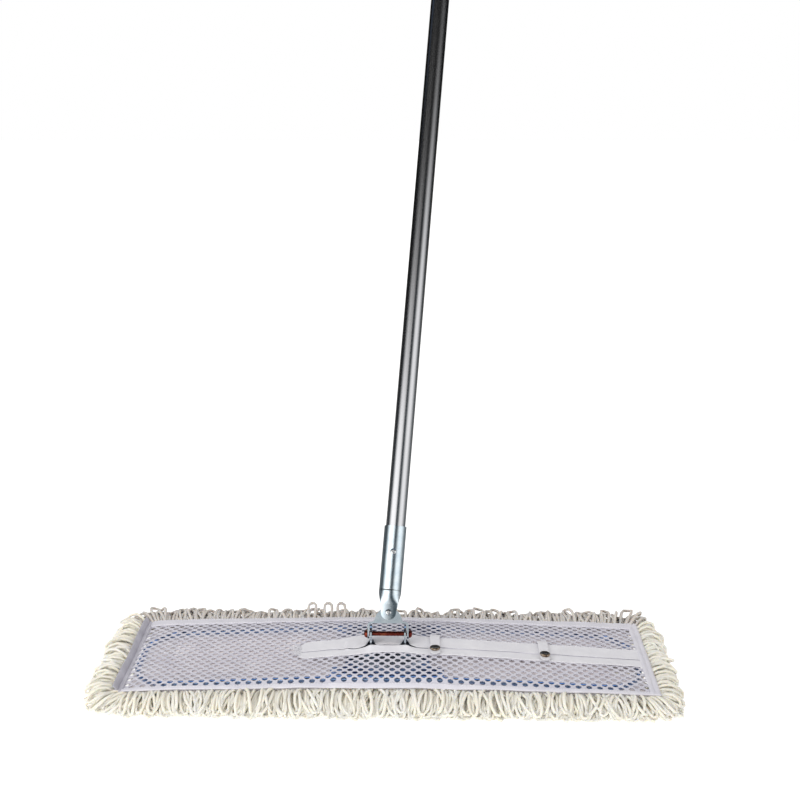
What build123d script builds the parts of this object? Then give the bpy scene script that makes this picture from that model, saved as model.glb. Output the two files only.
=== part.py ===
from build123d import *
import os
from math import atan2, cos, degrees, radians, sin, tan

# Flat mop: a looped-yarn mop head with a mesh pocket, a plated wire frame inside the pocket,
# a two-way swivel that comes up through a slit in the pocket, and a tubular handle.
# Frame: origin on the floor below the middle of the axle; +X along the head to the right,
# +Y to the rear, +Z up. Millimetres.

# ---- mop head: fabric and yarn ----
cover_length = 625.0         # mesh cover, hem edge to hem edge
cover_front_reach = 86.0     # axle line to the front hem edge
cover_rear_reach = 99.0      # axle line to the rear hem edge
cover_thickness = 1.5
hem_thickness = 2.2
hem_front_width = 6.0
hem_rear_width = 16.0
hem_end_width = 10.5
hem_drop = 9.6               # cover over the swivel down to the front and rear hems
pile_height = 18.0           # floor to the pocket's backing, under the centre plate
backing_thickness = 1.5
fringe_reach_front = 35.0    # hem edge out to the ends of the loops
fringe_reach_rear = 35.0
fringe_reach_end = 30.5
fringe_edge_height = 4.5     # height of the fringe at its outermost line
crown_beyond_plate = 6.0     # how far past the plate the cover stays level
crown_beyond_bracket = 2.0
shoulder_reach = 3.0         # the cover's turn over the front and rear wires, to each side
shoulder_bulge = 1.0
hem_end_fall = 1.5           # the end hem's slope down, inner edge to outer edge
slit_y = -5.0                # line of the long slit
slit_left = -105.0
slit_right = 230.0
slit_width = 2.0
tape_thickness = 1.0
tape_front_width = 17.0
tape_rear_width = 27.0
tape_left = -110.0
slit_mouth_half_length = 60.0    # the slit opens round the swivel
slit_mouth_clearance = 3.5       # fabric to the bracket's ears, front and rear

# ---- wire frame ----
wire_diameter = 6.0
frame_length = 600.0         # outside of one loop's end to the outside of the other's
frame_depth = 139.0          # outside of the front wire to the outside of the rear wire
loop_corner_radius = 47.5    # wire centre line
loop_bend_radius = 60.0
loop_slope = 2.6             # degrees, each loop's fall from the plate to its end
loop_slope_start = 4.0       # plate to where the fall begins
leg_gap = 8.0                # between the two loops' leg ends, inside the plate's rolled edges

# ---- centre plate and bracket ----
plate_thickness = 1.5
plate_length = 132.0         # along the wires, over the corner ears
plate_waist = 100.0
plate_ear_width = 13.0
plate_ear_slant = 12.0       # depth of the slanted edge between an ear and the waist
plate_side_hollow = 2.0      # how far each side curves in
curl_reach = 1.5             # how far the rolled edge goes below the wire's middle
bracket_thickness = 1.2
bracket_base_length = 80.0
bracket_base_depth = 96.0
bracket_base_corner = 9.0
bracket_width = 42.5         # over the two ears
bracket_ear_thickness = 2.0
bracket_ear_radius = 11.0
axle_over_bracket = 19.6     # axle above the bracket's base
rivet_inset = 6.0            # plate rivets, from the bracket base's edges
rivet_diameter = 4.0
rivet_head_diameter = 7.0
rivet_head_height = 1.0
rivet_tail_diameter = 6.0
rivet_tail_height = 0.8
dome_share = 0.85            # how much of a head's height is rounded

# ---- swivel ----
axle_diameter = 5.5
axle_head_diameter = 10.0
axle_head_thickness = 4.1
axle_end_gap = 0.2
axle_in_cap = 2.5            # how far the axle goes into its cap
yoke_width = 48.8
yoke_strap = 12.0
yoke_thickness = 2.0
yoke_top = 14.0              # axle to the top face of the yoke
yoke_bend_radius = 5.0
yoke_lean = 26.0             # degrees, swivel leaning back
saddle_width = 34.0
saddle_depth = 11.0
saddle_thickness = 2.0
saddle_arch_inset = 0.5      # the arch's foot, in from each end of the base
saddle_foot_shift = 1.0      # base rearward of the yoke's middle
saddle_rim = 7.0             # depth of the rim behind the ear
saddle_rim_wall = 1.5
saddle_rim_height = 10.0     # how far up the arch the rim runs on each side
pivot_over_yoke = 11.0       # rivet above the yoke's top face
pivot_diameter = 5.0
pivot_head_diameter = 7.4
pivot_head_height = 2.4
pivot_tail_height = 1.6
washer_diameter = 11.0
washer_thickness = 1.0
handle_lean = 4.39           # degrees, handle leaning to the right

# ---- handle ----
tube_diameter = 23.5
tube_wall = 1.2
tube_length = 1400.0
socket_wall = 1.2
socket_top = 103.0           # pivot to the socket's mouth
socket_shoulder = 23.0       # pivot to where the socket is fully round
socket_flat = 10.0           # pivot to where the socket is fully flattened
socket_blend = 4.0           # round length that the flattening runs out into
socket_tongue_width = 18.0
socket_tongue_thickness = 2.8
socket_neck_width = 22.0     # tongue where the flattening begins
socket_half_flat_width = 24.2
socket_half_flat_depth = 14.6
socket_void_width = 11.0     # inside of the tube where its walls meet
socket_void_gap = 0.6
socket_void_corner = 0.27
socket_void_rise = 2.0       # solid tongue above where the tube is fully flattened
tube_seat = 11.0             # socket's shoulder to the tube's end
screw_height = 72.0          # pivot to the socket screw
screw_diameter = 4.0
screw_length = 9.0
screw_head_diameter = 7.0
screw_head_height = 2.2
screw_cross_length = 4.2
screw_cross_width = 0.9
screw_cross_depth = 1.1
plug_length = 32.0
cap_collar = 10.0
cap_diameter = 25.0
cap_length = 52.0
cap_eye_thickness = 12.0
hang_hole_diameter = 10.0

# ---- snap tabs ----
snap_places = {"centre": 56.0, "right": 186.0}
tab_width = 12.0
tab_length = 46.0
tab_thickness = 1.0
tab_hinge_y = 20.0
snap_y = -14.0
snap_cap_diameter = 12.4
snap_cap_height = 2.4
snap_ring_diameter = 10.4
snap_ring_height = 2.0
snap_stud_diameter = 3.8
snap_stud_height = 2.3
snap_base_height = 0.8

# ---- clearances ----
seat_gap = 0.1               # pieces that rest on each other within the frame
running_fit = 0.08           # radial, shaft in a hole
socket_fit = 0.4             # radial, handle tube in its socket
side_play = 0.15             # between faces that turn past each other
fabric_gap = 0.3             # fabric over metal, and a snap tab over its tape
snap_fit = 0.5               # radial, stud in its socket ring

cut_overrun = 10.0           # a cutting shape past what it cuts
through = 60.0               # length of a cutting shape that goes right through

# ---- heights and lines that follow from the sizes above ----
wire_radius = wire_diameter / 2
wire_y = frame_depth / 2 - wire_radius
wire_z = pile_height + backing_thickness + seat_gap + wire_radius
loop_end_x = frame_length / 2 - wire_radius
loop_start_x = plate_length / 2 + loop_slope_start
loop_end_z = wire_z - (loop_end_x - loop_start_x) * tan(radians(loop_slope))
plate_bottom = wire_z + wire_radius + seat_gap
plate_top = plate_bottom + plate_thickness
bracket_top = plate_top + bracket_thickness
axle_z = bracket_top + axle_over_bracket
cover_crown = bracket_top + rivet_head_height + seat_gap
crown_end_x = plate_length / 2 + crown_beyond_plate
cover_end_x = cover_length / 2
hem_inner_x = cover_end_x - hem_end_width
hem_front_inner_y = -cover_front_reach + hem_front_width
hem_rear_inner_y = cover_rear_reach - hem_rear_width
over_loop_end = loop_end_z + wire_radius + fabric_gap
over_wire = plate_top + fabric_gap
fringe_end_x = cover_end_x + fringe_reach_end
fringe_front_y = -cover_front_reach - fringe_reach_front
fringe_rear_y = cover_rear_reach + fringe_reach_rear
bracket_half_depth = bracket_base_depth / 2
socket_radius = tube_diameter / 2 + socket_fit + socket_wall
tube_start = socket_shoulder + tube_seat


def block(x0, x1, y0, y1, z0, z1):
    """A box between two corners."""
    centre = ((x0 + x1) / 2, (y0 + y1) / 2, (z0 + z1) / 2)
    return Pos(*centre) * Box(x1 - x0, y1 - y0, z1 - z0)


def cover_z(x):
    """Height of the cover's underside along the head, over its middle line."""
    if abs(x) <= crown_end_x:
        return cover_crown
    fall = (cover_crown - over_loop_end) / (loop_end_x + wire_radius - crown_end_x)
    return cover_crown - (abs(x) - crown_end_x) * fall


def across_side(hem_reach, fringe_reach):
    """Distance from the middle and height under the cover, from the floor's edge up to the crown."""
    wire_edge = frame_depth / 2 + plate_thickness
    hem_z = cover_crown - hem_drop
    shoulder_z = (over_wire + hem_z) / 2 + shoulder_bulge
    crown_edge = bracket_half_depth + crown_beyond_bracket
    return [(fringe_reach, fringe_edge_height), (hem_reach, hem_z), (wire_edge + shoulder_reach, shoulder_z),
            (wire_edge - shoulder_reach, over_wire), (crown_edge, cover_crown)]


def under_cover(lift=0.0):
    """Everything below the cover's underside, out to the ends of the fringe, raised by lift."""
    half = [(crown_end_x, cover_crown), (loop_end_x + wire_radius, over_loop_end),
            (cover_end_x, over_loop_end - hem_end_fall), (fringe_end_x, fringe_edge_height)]
    along = [(-x, z + lift) for x, z in reversed(half)] + [(x, z + lift) for x, z in half]
    along = [(-fringe_end_x, 0)] + along + [(fringe_end_x, 0)]
    front = across_side(cover_front_reach, -fringe_front_y)
    rear = across_side(cover_rear_reach, fringe_rear_y)
    across = [(-y, z + lift) for y, z in front] + [(y, z + lift) for y, z in reversed(rear)]
    across = [(fringe_front_y, 0)] + across + [(fringe_rear_y, 0)]
    lengthwise = Plane.XZ * make_face(Polyline(*along, close=True))
    crosswise = Plane.YZ * make_face(Polyline(*across, close=True))
    lengthwise = extrude(lengthwise, amount=fringe_rear_y + cut_overrun, both=True)
    return lengthwise & extrude(crosswise, amount=fringe_end_x + cut_overrun, both=True)


def layer(low, high):
    """A sheet that follows the cover, from low to high above its underside."""
    return under_cover(high) - under_cover(low)


def slit_mouth():
    """The eye-shaped opening where the swivel comes up through the cover."""
    half_depth = bracket_ear_radius + slit_mouth_clearance
    return extrude(Ellipse(slit_mouth_half_length, half_depth), amount=axle_z)


def slit_cut():
    """The long slit with its mouth round the swivel."""
    line = block(slit_left, slit_right, slit_y - slit_width / 2, slit_y + slit_width / 2, 0, axle_z)
    return line + slit_mouth()


# ---- yarn, backing and cover ----

def yarn_pile():
    """The looped yarn under the pocket, from the floor to the backing."""
    region = block(-hem_inner_x, hem_inner_x, hem_front_inner_y, hem_rear_inner_y, 0, pile_height)
    return region & backing_outline(0, 0, whole=True)


def backing_outline(low, high, whole=False):
    """The backing's section along the head, from low to high above its underside."""
    end_x = hem_inner_x
    end_z = pile_height - (end_x - loop_start_x) * tan(radians(loop_slope))
    top = [(-end_x, end_z + high), (-loop_start_x, pile_height + high),
           (loop_start_x, pile_height + high), (end_x, end_z + high)]
    if whole:
        bottom = [(end_x, 0), (-end_x, 0)]
    else:
        bottom = [(x, z - high + low) for x, z in reversed(top)]
    outline = make_face(Polyline(*(top + bottom), close=True))
    return extrude(Plane.XZ * outline, amount=fringe_rear_y, both=True)


def mop_backing():
    region = block(-hem_inner_x, hem_inner_x, hem_front_inner_y, hem_rear_inner_y, 0, axle_z)
    return backing_outline(0, backing_thickness) & region


def fringe(side):
    """The loops along one side, from the floor up to the hem's underside and out past it."""
    regions = {
        "front": (-hem_inner_x, hem_inner_x, fringe_front_y, hem_front_inner_y),
        "rear": (-hem_inner_x, hem_inner_x, hem_rear_inner_y, fringe_rear_y),
        "left": (-fringe_end_x, -hem_inner_x, fringe_front_y, fringe_rear_y),
        "right": (hem_inner_x, fringe_end_x, fringe_front_y, fringe_rear_y),
    }
    return under_cover() & block(*regions[side], 0, axle_z)


def mesh_cover():
    region = block(-hem_inner_x, hem_inner_x, hem_front_inner_y, hem_rear_inner_y, 0, axle_z)
    return (layer(0, cover_thickness) & region) - slit_cut()


def hem(side):
    """The tape bound round one edge of the cover."""
    regions = {
        "front": (-cover_end_x, cover_end_x, -cover_front_reach, hem_front_inner_y),
        "rear": (-cover_end_x, cover_end_x, hem_rear_inner_y, cover_rear_reach),
        "left": (-cover_end_x, -hem_inner_x, hem_front_inner_y, hem_rear_inner_y),
        "right": (hem_inner_x, cover_end_x, hem_front_inner_y, hem_rear_inner_y),
    }
    return layer(0, hem_thickness) & block(*regions[side], 0, axle_z)


def slit_tape(side):
    """The tape sewn along one edge of the slit, on top of the cover."""
    if side == "front":
        span = (slit_y - slit_width / 2 - tape_front_width, slit_y - slit_width / 2)
    else:
        span = (slit_y + slit_width / 2, slit_y + slit_width / 2 + tape_rear_width)
    region = block(tape_left, hem_inner_x, *span, 0, axle_z)
    sheet = layer(cover_thickness, cover_thickness + tape_thickness)
    return (sheet & region) - slit_mouth()


# ---- wire frame, centre plate and bracket ----

def wire_loop(side):
    """One wire: two legs under the plate and a round-cornered loop that slopes to its end."""
    s = -1 if side == "left" else 1
    route = [
        (s * leg_gap / 2, -wire_y, wire_z), (s * loop_start_x, -wire_y, wire_z),
        (s * loop_end_x, -wire_y, loop_end_z), (s * loop_end_x, wire_y, loop_end_z),
        (s * loop_start_x, wire_y, wire_z), (s * leg_gap / 2, wire_y, wire_z),
    ]
    radii = [loop_bend_radius, loop_corner_radius, loop_corner_radius, loop_bend_radius]
    path = FilletPolyline(*route, radius=radii)
    start = Plane(origin=path @ 0, z_dir=path % 0)
    return sweep(start * Circle(wire_radius), path=path)


def rivet_points():
    """The bracket's three rivets: one at the front, two at the rear."""
    side = bracket_base_length / 2 - rivet_inset
    back = bracket_half_depth - rivet_inset
    return [(0, -back), (side, back), (-side, back)]


def centre_plate():
    """A pressed plate across both wires, with its front and rear edges rolled round them."""
    inner = wire_radius + seat_gap
    outer = inner + plate_thickness
    strip = Pos(0, (plate_bottom + plate_top) / 2) * Rectangle(2 * wire_y, plate_thickness)
    for s in (-1, 1):
        ring = Pos(s * wire_y, wire_z) * (Circle(outer) - Circle(inner))
        keep_bottom = wire_z - curl_reach
        quarter = Pos(s * (wire_y + outer / 2), (keep_bottom + plate_top) / 2)
        strip += ring & (quarter * Rectangle(outer, plate_top - keep_bottom))
    plate = extrude(Plane.YZ * strip, amount=plate_length / 2, both=True)
    ear_y = wire_y - plate_ear_width
    waist_y = ear_y - plate_ear_slant
    for s in (-1, 1):
        waist = s * plate_waist / 2
        outside = s * (plate_length / 2 + cut_overrun)
        side = Line((outside, -ear_y), (waist, -waist_y))
        side += ThreePointArc((waist, -waist_y), (waist - s * plate_side_hollow, 0), (waist, waist_y))
        side += Polyline((waist, waist_y), (outside, ear_y), (outside, -ear_y))
        plate -= extrude(make_face(side), amount=axle_z)
    for x, y in rivet_points():
        plate -= Pos(x, y, plate_bottom) * Cylinder(rivet_diameter / 2, through)
    return plate


def base_bracket():
    """A flat base with two upright ears that carry the axle."""
    base = RectangleRounded(bracket_base_length, bracket_base_depth, bracket_base_corner)
    base = Pos(0, 0, plate_top) * extrude(base, amount=bracket_thickness)
    ear_shape = Pos(0, (bracket_top + axle_z) / 2) * Rectangle(2 * bracket_ear_radius, axle_z - bracket_top)
    ear_shape += Pos(0, axle_z) * Circle(bracket_ear_radius)
    ear_shape -= Pos(0, axle_z) * Circle(axle_diameter / 2 + running_fit)
    for s in (-1, 1):
        middle = s * (bracket_width - bracket_ear_thickness) / 2
        ear = extrude(Plane.YZ * ear_shape, amount=bracket_ear_thickness / 2, both=True)
        base += Pos(middle, 0, 0) * ear
    for x, y in rivet_points():
        base -= Pos(x, y, plate_top) * Cylinder(rivet_diameter / 2, through)
    return base


def domed_head(diameter, height):
    """A round head with a domed top, its flat face on the plane of the origin."""
    head = Pos(0, 0, height / 2) * Cylinder(diameter / 2, height)
    rim = head.edges().group_by(Axis.Z)[-1]
    return fillet(rim, min(height, diameter / 2) * dome_share)


def bracket_rivets():
    rivets = []
    for x, y in rivet_points():
        length = plate_thickness + bracket_thickness
        shank = Pos(x, y, plate_bottom + length / 2) * Cylinder(rivet_diameter / 2, length)
        head = Pos(x, y, bracket_top) * domed_head(rivet_head_diameter, rivet_head_height)
        tail = Cylinder(rivet_tail_diameter / 2, rivet_tail_height)
        tail = Pos(x, y, plate_bottom - rivet_tail_height / 2) * tail
        rivets.append(shank + head + tail)
    return Compound(children=[Solid(r.solid().wrapped) for r in rivets])


# ---- swivel: everything here is drawn upright about the axle and then leant back ----

def swivel_place():
    """Axle at the origin, Z along the yoke, X along the axle."""
    lean = radians(yoke_lean)
    return Location(Plane(origin=(0, 0, axle_z), x_dir=(1, 0, 0), z_dir=(0, sin(lean), cos(lean))))


def along_x(radius, x0, x1):
    """A round bar along X from x0 to x1."""
    return Pos((x0 + x1) / 2, 0, 0) * Rot(0, 90, 0) * Cylinder(radius, x1 - x0)


def axle_pin():
    """The axle with its formed head on the left."""
    reach = yoke_width / 2 + axle_end_gap
    shaft = along_x(axle_diameter / 2, -reach, reach + axle_in_cap)
    head = Rot(0, -90, 0) * domed_head(axle_head_diameter, axle_head_thickness)
    return shaft + Pos(-reach, 0, 0) * head


def axle_cap():
    """The cap pushed on the axle's right end."""
    reach = yoke_width / 2 + axle_end_gap
    cap = Pos(reach, 0, 0) * Rot(0, 90, 0) * domed_head(axle_head_diameter, axle_head_thickness)
    return cap - along_x(axle_diameter / 2, reach - cut_overrun, reach + axle_in_cap)


def yoke():
    """A strap bent to an inverted U over the bracket's ears."""
    end = yoke_strap / 2
    middle = (yoke_top - end) / 2
    outside = Pos(0, middle) * Rectangle(yoke_width, yoke_top + end)
    outside = fillet(outside.vertices().group_by(Axis.Y)[-1], yoke_bend_radius)
    inside = Pos(0, middle - yoke_thickness) * Rectangle(yoke_width - 2 * yoke_thickness, yoke_top + end)
    inside = fillet(inside.vertices().group_by(Axis.Y)[-1], yoke_bend_radius - yoke_thickness)
    strap = extrude(Plane.XZ * (outside - inside), amount=yoke_strap / 2, both=True)
    side = Circle(end) + Pos(0, yoke_top / 2) * Rectangle(yoke_strap, yoke_top)
    strap &= extrude(Plane.YZ * side, amount=yoke_width, both=True)
    return strap - along_x(axle_diameter / 2, -yoke_width, yoke_width)


def saddle():
    """An arched ear on a base, with a rim turned back round the arch."""
    radius = saddle_width / 2 - saddle_arch_inset
    arch = Circle(radius) & Pos(0, radius / 2) * Rectangle(saddle_width, radius)
    inner = Circle(radius - saddle_rim_wall)
    ear = extrude(Plane.XZ * arch, amount=-saddle_thickness)
    sides = Pos(0, saddle_rim_height / 2) * Rectangle(saddle_width, saddle_rim_height)
    rim = extrude(Plane.XZ * ((arch - inner) & sides), amount=-saddle_rim)
    foot = Box(saddle_width, saddle_depth, saddle_thickness)
    foot = Pos(0, saddle_foot_shift, saddle_thickness / 2) * foot
    body = Pos(0, 0, yoke_top) * (ear + rim + foot)
    hole = Pos(0, 0, yoke_top + pivot_over_yoke) * Rot(90, 0, 0) * Cylinder(pivot_diameter / 2, through)
    return body - hole


def tongue_y():
    """Middle of the flattened socket, in front of the saddle's ear."""
    return -side_play - socket_tongue_thickness / 2


def pivot_rivet():
    front = -2 * side_play - socket_tongue_thickness
    back = saddle_thickness + washer_thickness
    shank = Pos(0, (front + back) / 2, 0) * Rot(90, 0, 0) * Cylinder(pivot_diameter / 2, back - front)
    head = Pos(0, front, 0) * Rot(90, 0, 0) * domed_head(pivot_head_diameter, pivot_head_height)
    tail = Pos(0, back, 0) * Rot(-90, 0, 0) * domed_head(pivot_head_diameter, pivot_tail_height)
    return Pos(0, 0, yoke_top + pivot_over_yoke) * (shank + head + tail)


def pivot_washer():
    ring = Rot(90, 0, 0) * (Cylinder(washer_diameter / 2, washer_thickness)
                            - Cylinder(pivot_diameter / 2, washer_thickness))
    return Pos(0, saddle_thickness + washer_thickness / 2, yoke_top + pivot_over_yoke) * ring


# ---- handle: drawn upright about the pivot and then leant with the swivel and to the right ----

def handle_place():
    """Pivot at the origin, Z along the handle, Y along the pivot rivet."""
    back = radians(yoke_lean)
    side = radians(handle_lean)
    reach = yoke_top + pivot_over_yoke
    origin = (0, reach * sin(back), axle_z + reach * cos(back))
    along = (sin(side), cos(side) * sin(back), cos(side) * cos(back))
    across = (cos(side), -sin(side) * sin(back), -sin(side) * cos(back))
    return Location(Plane(origin=origin, x_dir=across, z_dir=along))


def handle_socket():
    """A plated tube: round above, flattened to a round-ended tongue at the pivot."""
    inner = socket_radius - socket_wall
    middle = (socket_shoulder + socket_top) / 2
    sleeve = Pos(0, 0, middle) * Cylinder(socket_radius, socket_top - socket_shoulder)
    flat = Ellipse(socket_neck_width / 2, socket_tongue_thickness / 2)
    half_flat = Ellipse(socket_half_flat_width / 2, socket_half_flat_depth / 2)
    shell = loft([
        Pos(0, 0, socket_flat) * flat,
        Pos(0, 0, (socket_flat + socket_shoulder) / 2) * half_flat,
        Pos(0, 0, socket_shoulder) * Circle(socket_radius),
        Pos(0, 0, socket_shoulder + socket_blend) * Circle(socket_radius),
    ])
    slot = RectangleRounded(socket_void_width, socket_void_gap, socket_void_corner)
    slot_z = socket_flat + socket_void_rise
    void = loft([Pos(0, 0, slot_z) * slot, Pos(0, 0, socket_shoulder) * Circle(inner)])
    bore = Pos(0, 0, middle) * Cylinder(inner, socket_top - socket_shoulder)
    half = socket_tongue_width / 2
    neck = socket_neck_width / 2
    outline = Polyline((-half, 0), (half, 0), (neck, socket_flat), (-neck, socket_flat), close=True)
    outline = Circle(half) + make_face(outline)
    tongue = extrude(flat, amount=socket_flat) + extrude(flat, amount=-socket_tongue_width)
    tongue &= extrude(Plane.XZ * outline, amount=socket_tongue_thickness, both=True)
    body = (sleeve + shell + tongue) - bore - void
    body -= Rot(90, 0, 0) * Cylinder(pivot_diameter / 2 + running_fit, through)
    screw_hole = Rot(90, 0, 0) * Cylinder(screw_diameter / 2, socket_radius)
    body -= Pos(0, -socket_radius, screw_height) * screw_hole
    return Pos(0, tongue_y(), 0) * body


def socket_screw():
    """A cross-head screw through the socket's front wall into the handle tube."""
    head = domed_head(screw_head_diameter, screw_head_height)
    shank = Pos(0, 0, -screw_length / 2) * Cylinder(screw_diameter / 2, screw_length)
    screw = head + shank
    depth = Pos(0, 0, screw_head_height - screw_cross_depth / 2)
    screw -= depth * Box(screw_cross_length, screw_cross_width, screw_cross_depth)
    screw -= depth * Box(screw_cross_width, screw_cross_length, screw_cross_depth)
    return Pos(0, tongue_y() - socket_radius, screw_height) * Rot(90, 0, 0) * screw


def handle_tube():
    outer = tube_diameter / 2
    tube = Cylinder(outer, tube_length) - Cylinder(outer - tube_wall, tube_length)
    tube = Pos(0, 0, tube_start + tube_length / 2) * tube
    tube -= Pos(0, -outer, screw_height) * Rot(90, 0, 0) * Cylinder(screw_diameter / 2, outer)
    return Pos(0, tongue_y(), 0) * tube


def end_cap():
    """A plug in the tube's top with a collar, a flattened eye and a hanging hole."""
    plug = Pos(0, 0, -plug_length / 2) * Cylinder(tube_diameter / 2 - tube_wall - seat_gap, plug_length)
    collar = Pos(0, 0, cap_collar / 2) * Cylinder(cap_diameter / 2, cap_collar)
    eye_z = cap_length - cap_diameter / 2
    eye = Circle(cap_diameter / 2)
    eye = Pos(0, eye_z) * eye + Pos(0, eye_z / 2) * Rectangle(cap_diameter, eye_z)
    eye = extrude(Plane.XZ * eye, amount=cap_eye_thickness / 2, both=True)
    eye &= Pos(0, 0, cap_length / 2) * Cylinder(cap_diameter / 2, cap_length)
    cap = plug + collar + eye
    cap -= Pos(0, 0, eye_z) * Rot(90, 0, 0) * Cylinder(hang_hole_diameter / 2, through)
    return Pos(0, tongue_y(), tube_start + tube_length) * cap


# ---- snap tabs ----

def tape_place(x):
    """A place on top of the slit tapes at the snap's line, level with the cover there."""
    lift = cover_thickness + tape_thickness
    step = 1.0
    slope = degrees(atan2(cover_z(x - step) - cover_z(x + step), 2 * step))
    return Pos(x, 0, cover_z(x) + lift) * Rot(0, slope, 0)


def tab_place(x):
    """The tab's hinge at the origin, Y to the rear, Z up through the tab."""
    reach = tab_hinge_y - snap_y
    stack = snap_base_height + snap_ring_height
    rise = stack * (1 + snap_ring_diameter / 2 / reach) + side_play
    hinge_z = fabric_gap + tab_thickness / 2
    tilt = -degrees(atan2(rise - fabric_gap, reach))
    return tape_place(x) * Pos(0, tab_hinge_y, hinge_z) * Rot(tilt, 0, 0)


def snap_tab():
    """A tape tab, hinged at its rear edge, with a rounded front end."""
    half = tab_width / 2
    shape = Pos(0, -(tab_length - half) / 2) * Rectangle(tab_width, tab_length - half)
    shape += Pos(0, -(tab_length - half)) * Circle(half)
    tab = extrude(shape, amount=tab_thickness / 2, both=True)
    return tab - Pos(0, snap_y - tab_hinge_y, 0) * Cylinder(snap_stud_diameter / 2, through)


def snap_cap():
    """The dome over the tab, with its rivet stem through the tab."""
    dome = Pos(0, 0, tab_thickness / 2) * domed_head(snap_cap_diameter, snap_cap_height)
    stem = Cylinder(snap_stud_diameter / 2, tab_thickness)
    return Pos(0, snap_y - tab_hinge_y, 0) * (dome + stem)


def snap_socket():
    """The ring under the tab that grips the stud."""
    ring = Cylinder(snap_ring_diameter / 2, snap_ring_height)
    ring -= Cylinder(snap_stud_diameter / 2 + snap_fit, snap_ring_height)
    return Pos(0, snap_y - tab_hinge_y, -(tab_thickness + snap_ring_height) / 2) * ring


def snap_stud():
    """The stud on the front tape."""
    base = Pos(0, 0, snap_base_height / 2) * Cylinder(snap_ring_diameter / 2, snap_base_height)
    post = Pos(0, 0, snap_stud_height / 2) * Cylinder(snap_stud_diameter / 2, snap_stud_height)
    return Pos(0, snap_y, 0) * (base + post)


def build():
    """Every piece in its place, by node name."""
    swivel = swivel_place()
    handle = handle_place()
    nodes = {
        "yarn_pile": yarn_pile(), "mop_backing": mop_backing(), "mesh_cover": mesh_cover(),
        "centre_plate": centre_plate(), "base_bracket": base_bracket(), "bracket_rivets": bracket_rivets(),
        "axle_pin": swivel * axle_pin(), "axle_cap": swivel * axle_cap(), "yoke": swivel * yoke(),
        "saddle": swivel * saddle(), "pivot_rivet": swivel * pivot_rivet(),
        "pivot_washer": swivel * pivot_washer(),
        "handle_socket": handle * handle_socket(), "socket_screw": handle * socket_screw(),
        "handle_tube": handle * handle_tube(), "end_cap": handle * end_cap(),
    }
    for side in ("front", "rear", "left", "right"):
        nodes[f"fringe_{side}"] = fringe(side)
        nodes[f"hem_{side}"] = hem(side)
    for side in ("front", "rear"):
        nodes[f"slit_tape_{side}"] = slit_tape(side)
    for side in ("left", "right"):
        nodes[f"wire_loop_{side}"] = wire_loop(side)
    for name, x in snap_places.items():
        nodes[f"snap_tab_{name}"] = tab_place(x) * snap_tab()
        nodes[f"snap_cap_{name}"] = tab_place(x) * snap_cap()
        nodes[f"snap_socket_{name}"] = tab_place(x) * snap_socket()
        nodes[f"snap_stud_{name}"] = tape_place(x) * snap_stud()
    return nodes


os.makedirs("parts", exist_ok=True)
for node, shape in build().items():
    export_step(shape, f"parts/{node}.step")
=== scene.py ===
# %% [markdown]
# A looped-yarn dust mop, standing on a pale floor.
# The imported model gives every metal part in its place. This script adds the soft goods, which are
# the mesh pocket, its tapes and the yarn, and gives every part its finish. All lengths are metres.

# %% Load the frame
import math
import random

import bmesh
import bpy
import numpy as np
from mathutils import Matrix, Vector, noise
from mathutils.bvhtree import BVHTree


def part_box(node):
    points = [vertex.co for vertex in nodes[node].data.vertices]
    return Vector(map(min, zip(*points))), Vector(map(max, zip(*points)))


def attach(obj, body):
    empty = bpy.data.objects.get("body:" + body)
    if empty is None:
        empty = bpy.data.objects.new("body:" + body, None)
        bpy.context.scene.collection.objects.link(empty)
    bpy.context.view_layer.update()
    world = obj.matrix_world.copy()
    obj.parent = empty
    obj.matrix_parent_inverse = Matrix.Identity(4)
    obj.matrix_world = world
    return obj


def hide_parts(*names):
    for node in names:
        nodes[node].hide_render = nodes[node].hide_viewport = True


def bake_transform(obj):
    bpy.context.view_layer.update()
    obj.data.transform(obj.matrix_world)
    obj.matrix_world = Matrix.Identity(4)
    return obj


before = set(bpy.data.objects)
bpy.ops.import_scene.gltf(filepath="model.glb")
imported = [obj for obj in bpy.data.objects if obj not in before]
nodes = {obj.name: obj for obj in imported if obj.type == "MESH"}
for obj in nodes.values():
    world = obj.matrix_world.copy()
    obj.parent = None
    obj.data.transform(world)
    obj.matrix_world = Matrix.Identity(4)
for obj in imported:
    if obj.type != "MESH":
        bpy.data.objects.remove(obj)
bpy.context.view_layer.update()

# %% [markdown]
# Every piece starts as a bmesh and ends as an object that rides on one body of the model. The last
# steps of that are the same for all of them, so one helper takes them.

MM = 0.001


def finished(bm, name, body, smooth=True):
    """Turn a bmesh into a piece that rides on a body."""
    mesh = bpy.data.meshes.new(name)
    bm.to_mesh(mesh)
    bm.free()
    mesh.polygons.foreach_set("use_smooth", [smooth] * len(mesh.polygons))
    piece = bpy.data.objects.new(name, mesh)
    bpy.context.scene.collection.objects.link(piece)
    if body:
        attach(piece, body)
    return piece


# %% [markdown]
# The camera stands about 1.5 m in front of the mop, a little above the height of a table, and looks
# down at the head. The handle leaves the picture at the top. A lens of about 58 mm on a 36 mm sensor
# keeps the head's front and rear edges nearly parallel.

# %% Camera
camera_data = bpy.data.cameras.new("camera")
camera_data.lens = 58.5
camera_data.sensor_width = 36.0
camera = bpy.data.objects.new("camera", camera_data)
bpy.context.scene.collection.objects.link(camera)
camera.location = (0.03816, -1.4182, 0.7372)
camera.rotation_euler = (math.radians(90 - 15.727), 0, math.radians(0.970))
bpy.context.scene.camera = camera
bpy.context.scene.view_settings.view_transform = "Standard"

# %% [markdown]
# The light is a studio's. It could be a set of lamps and panels, but a panel far away is the same as
# a patch of the world, and a patch can have soft edges. So the world's colour is worked out from the
# direction of a ray. A few helpers keep its nodes readable.

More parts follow.
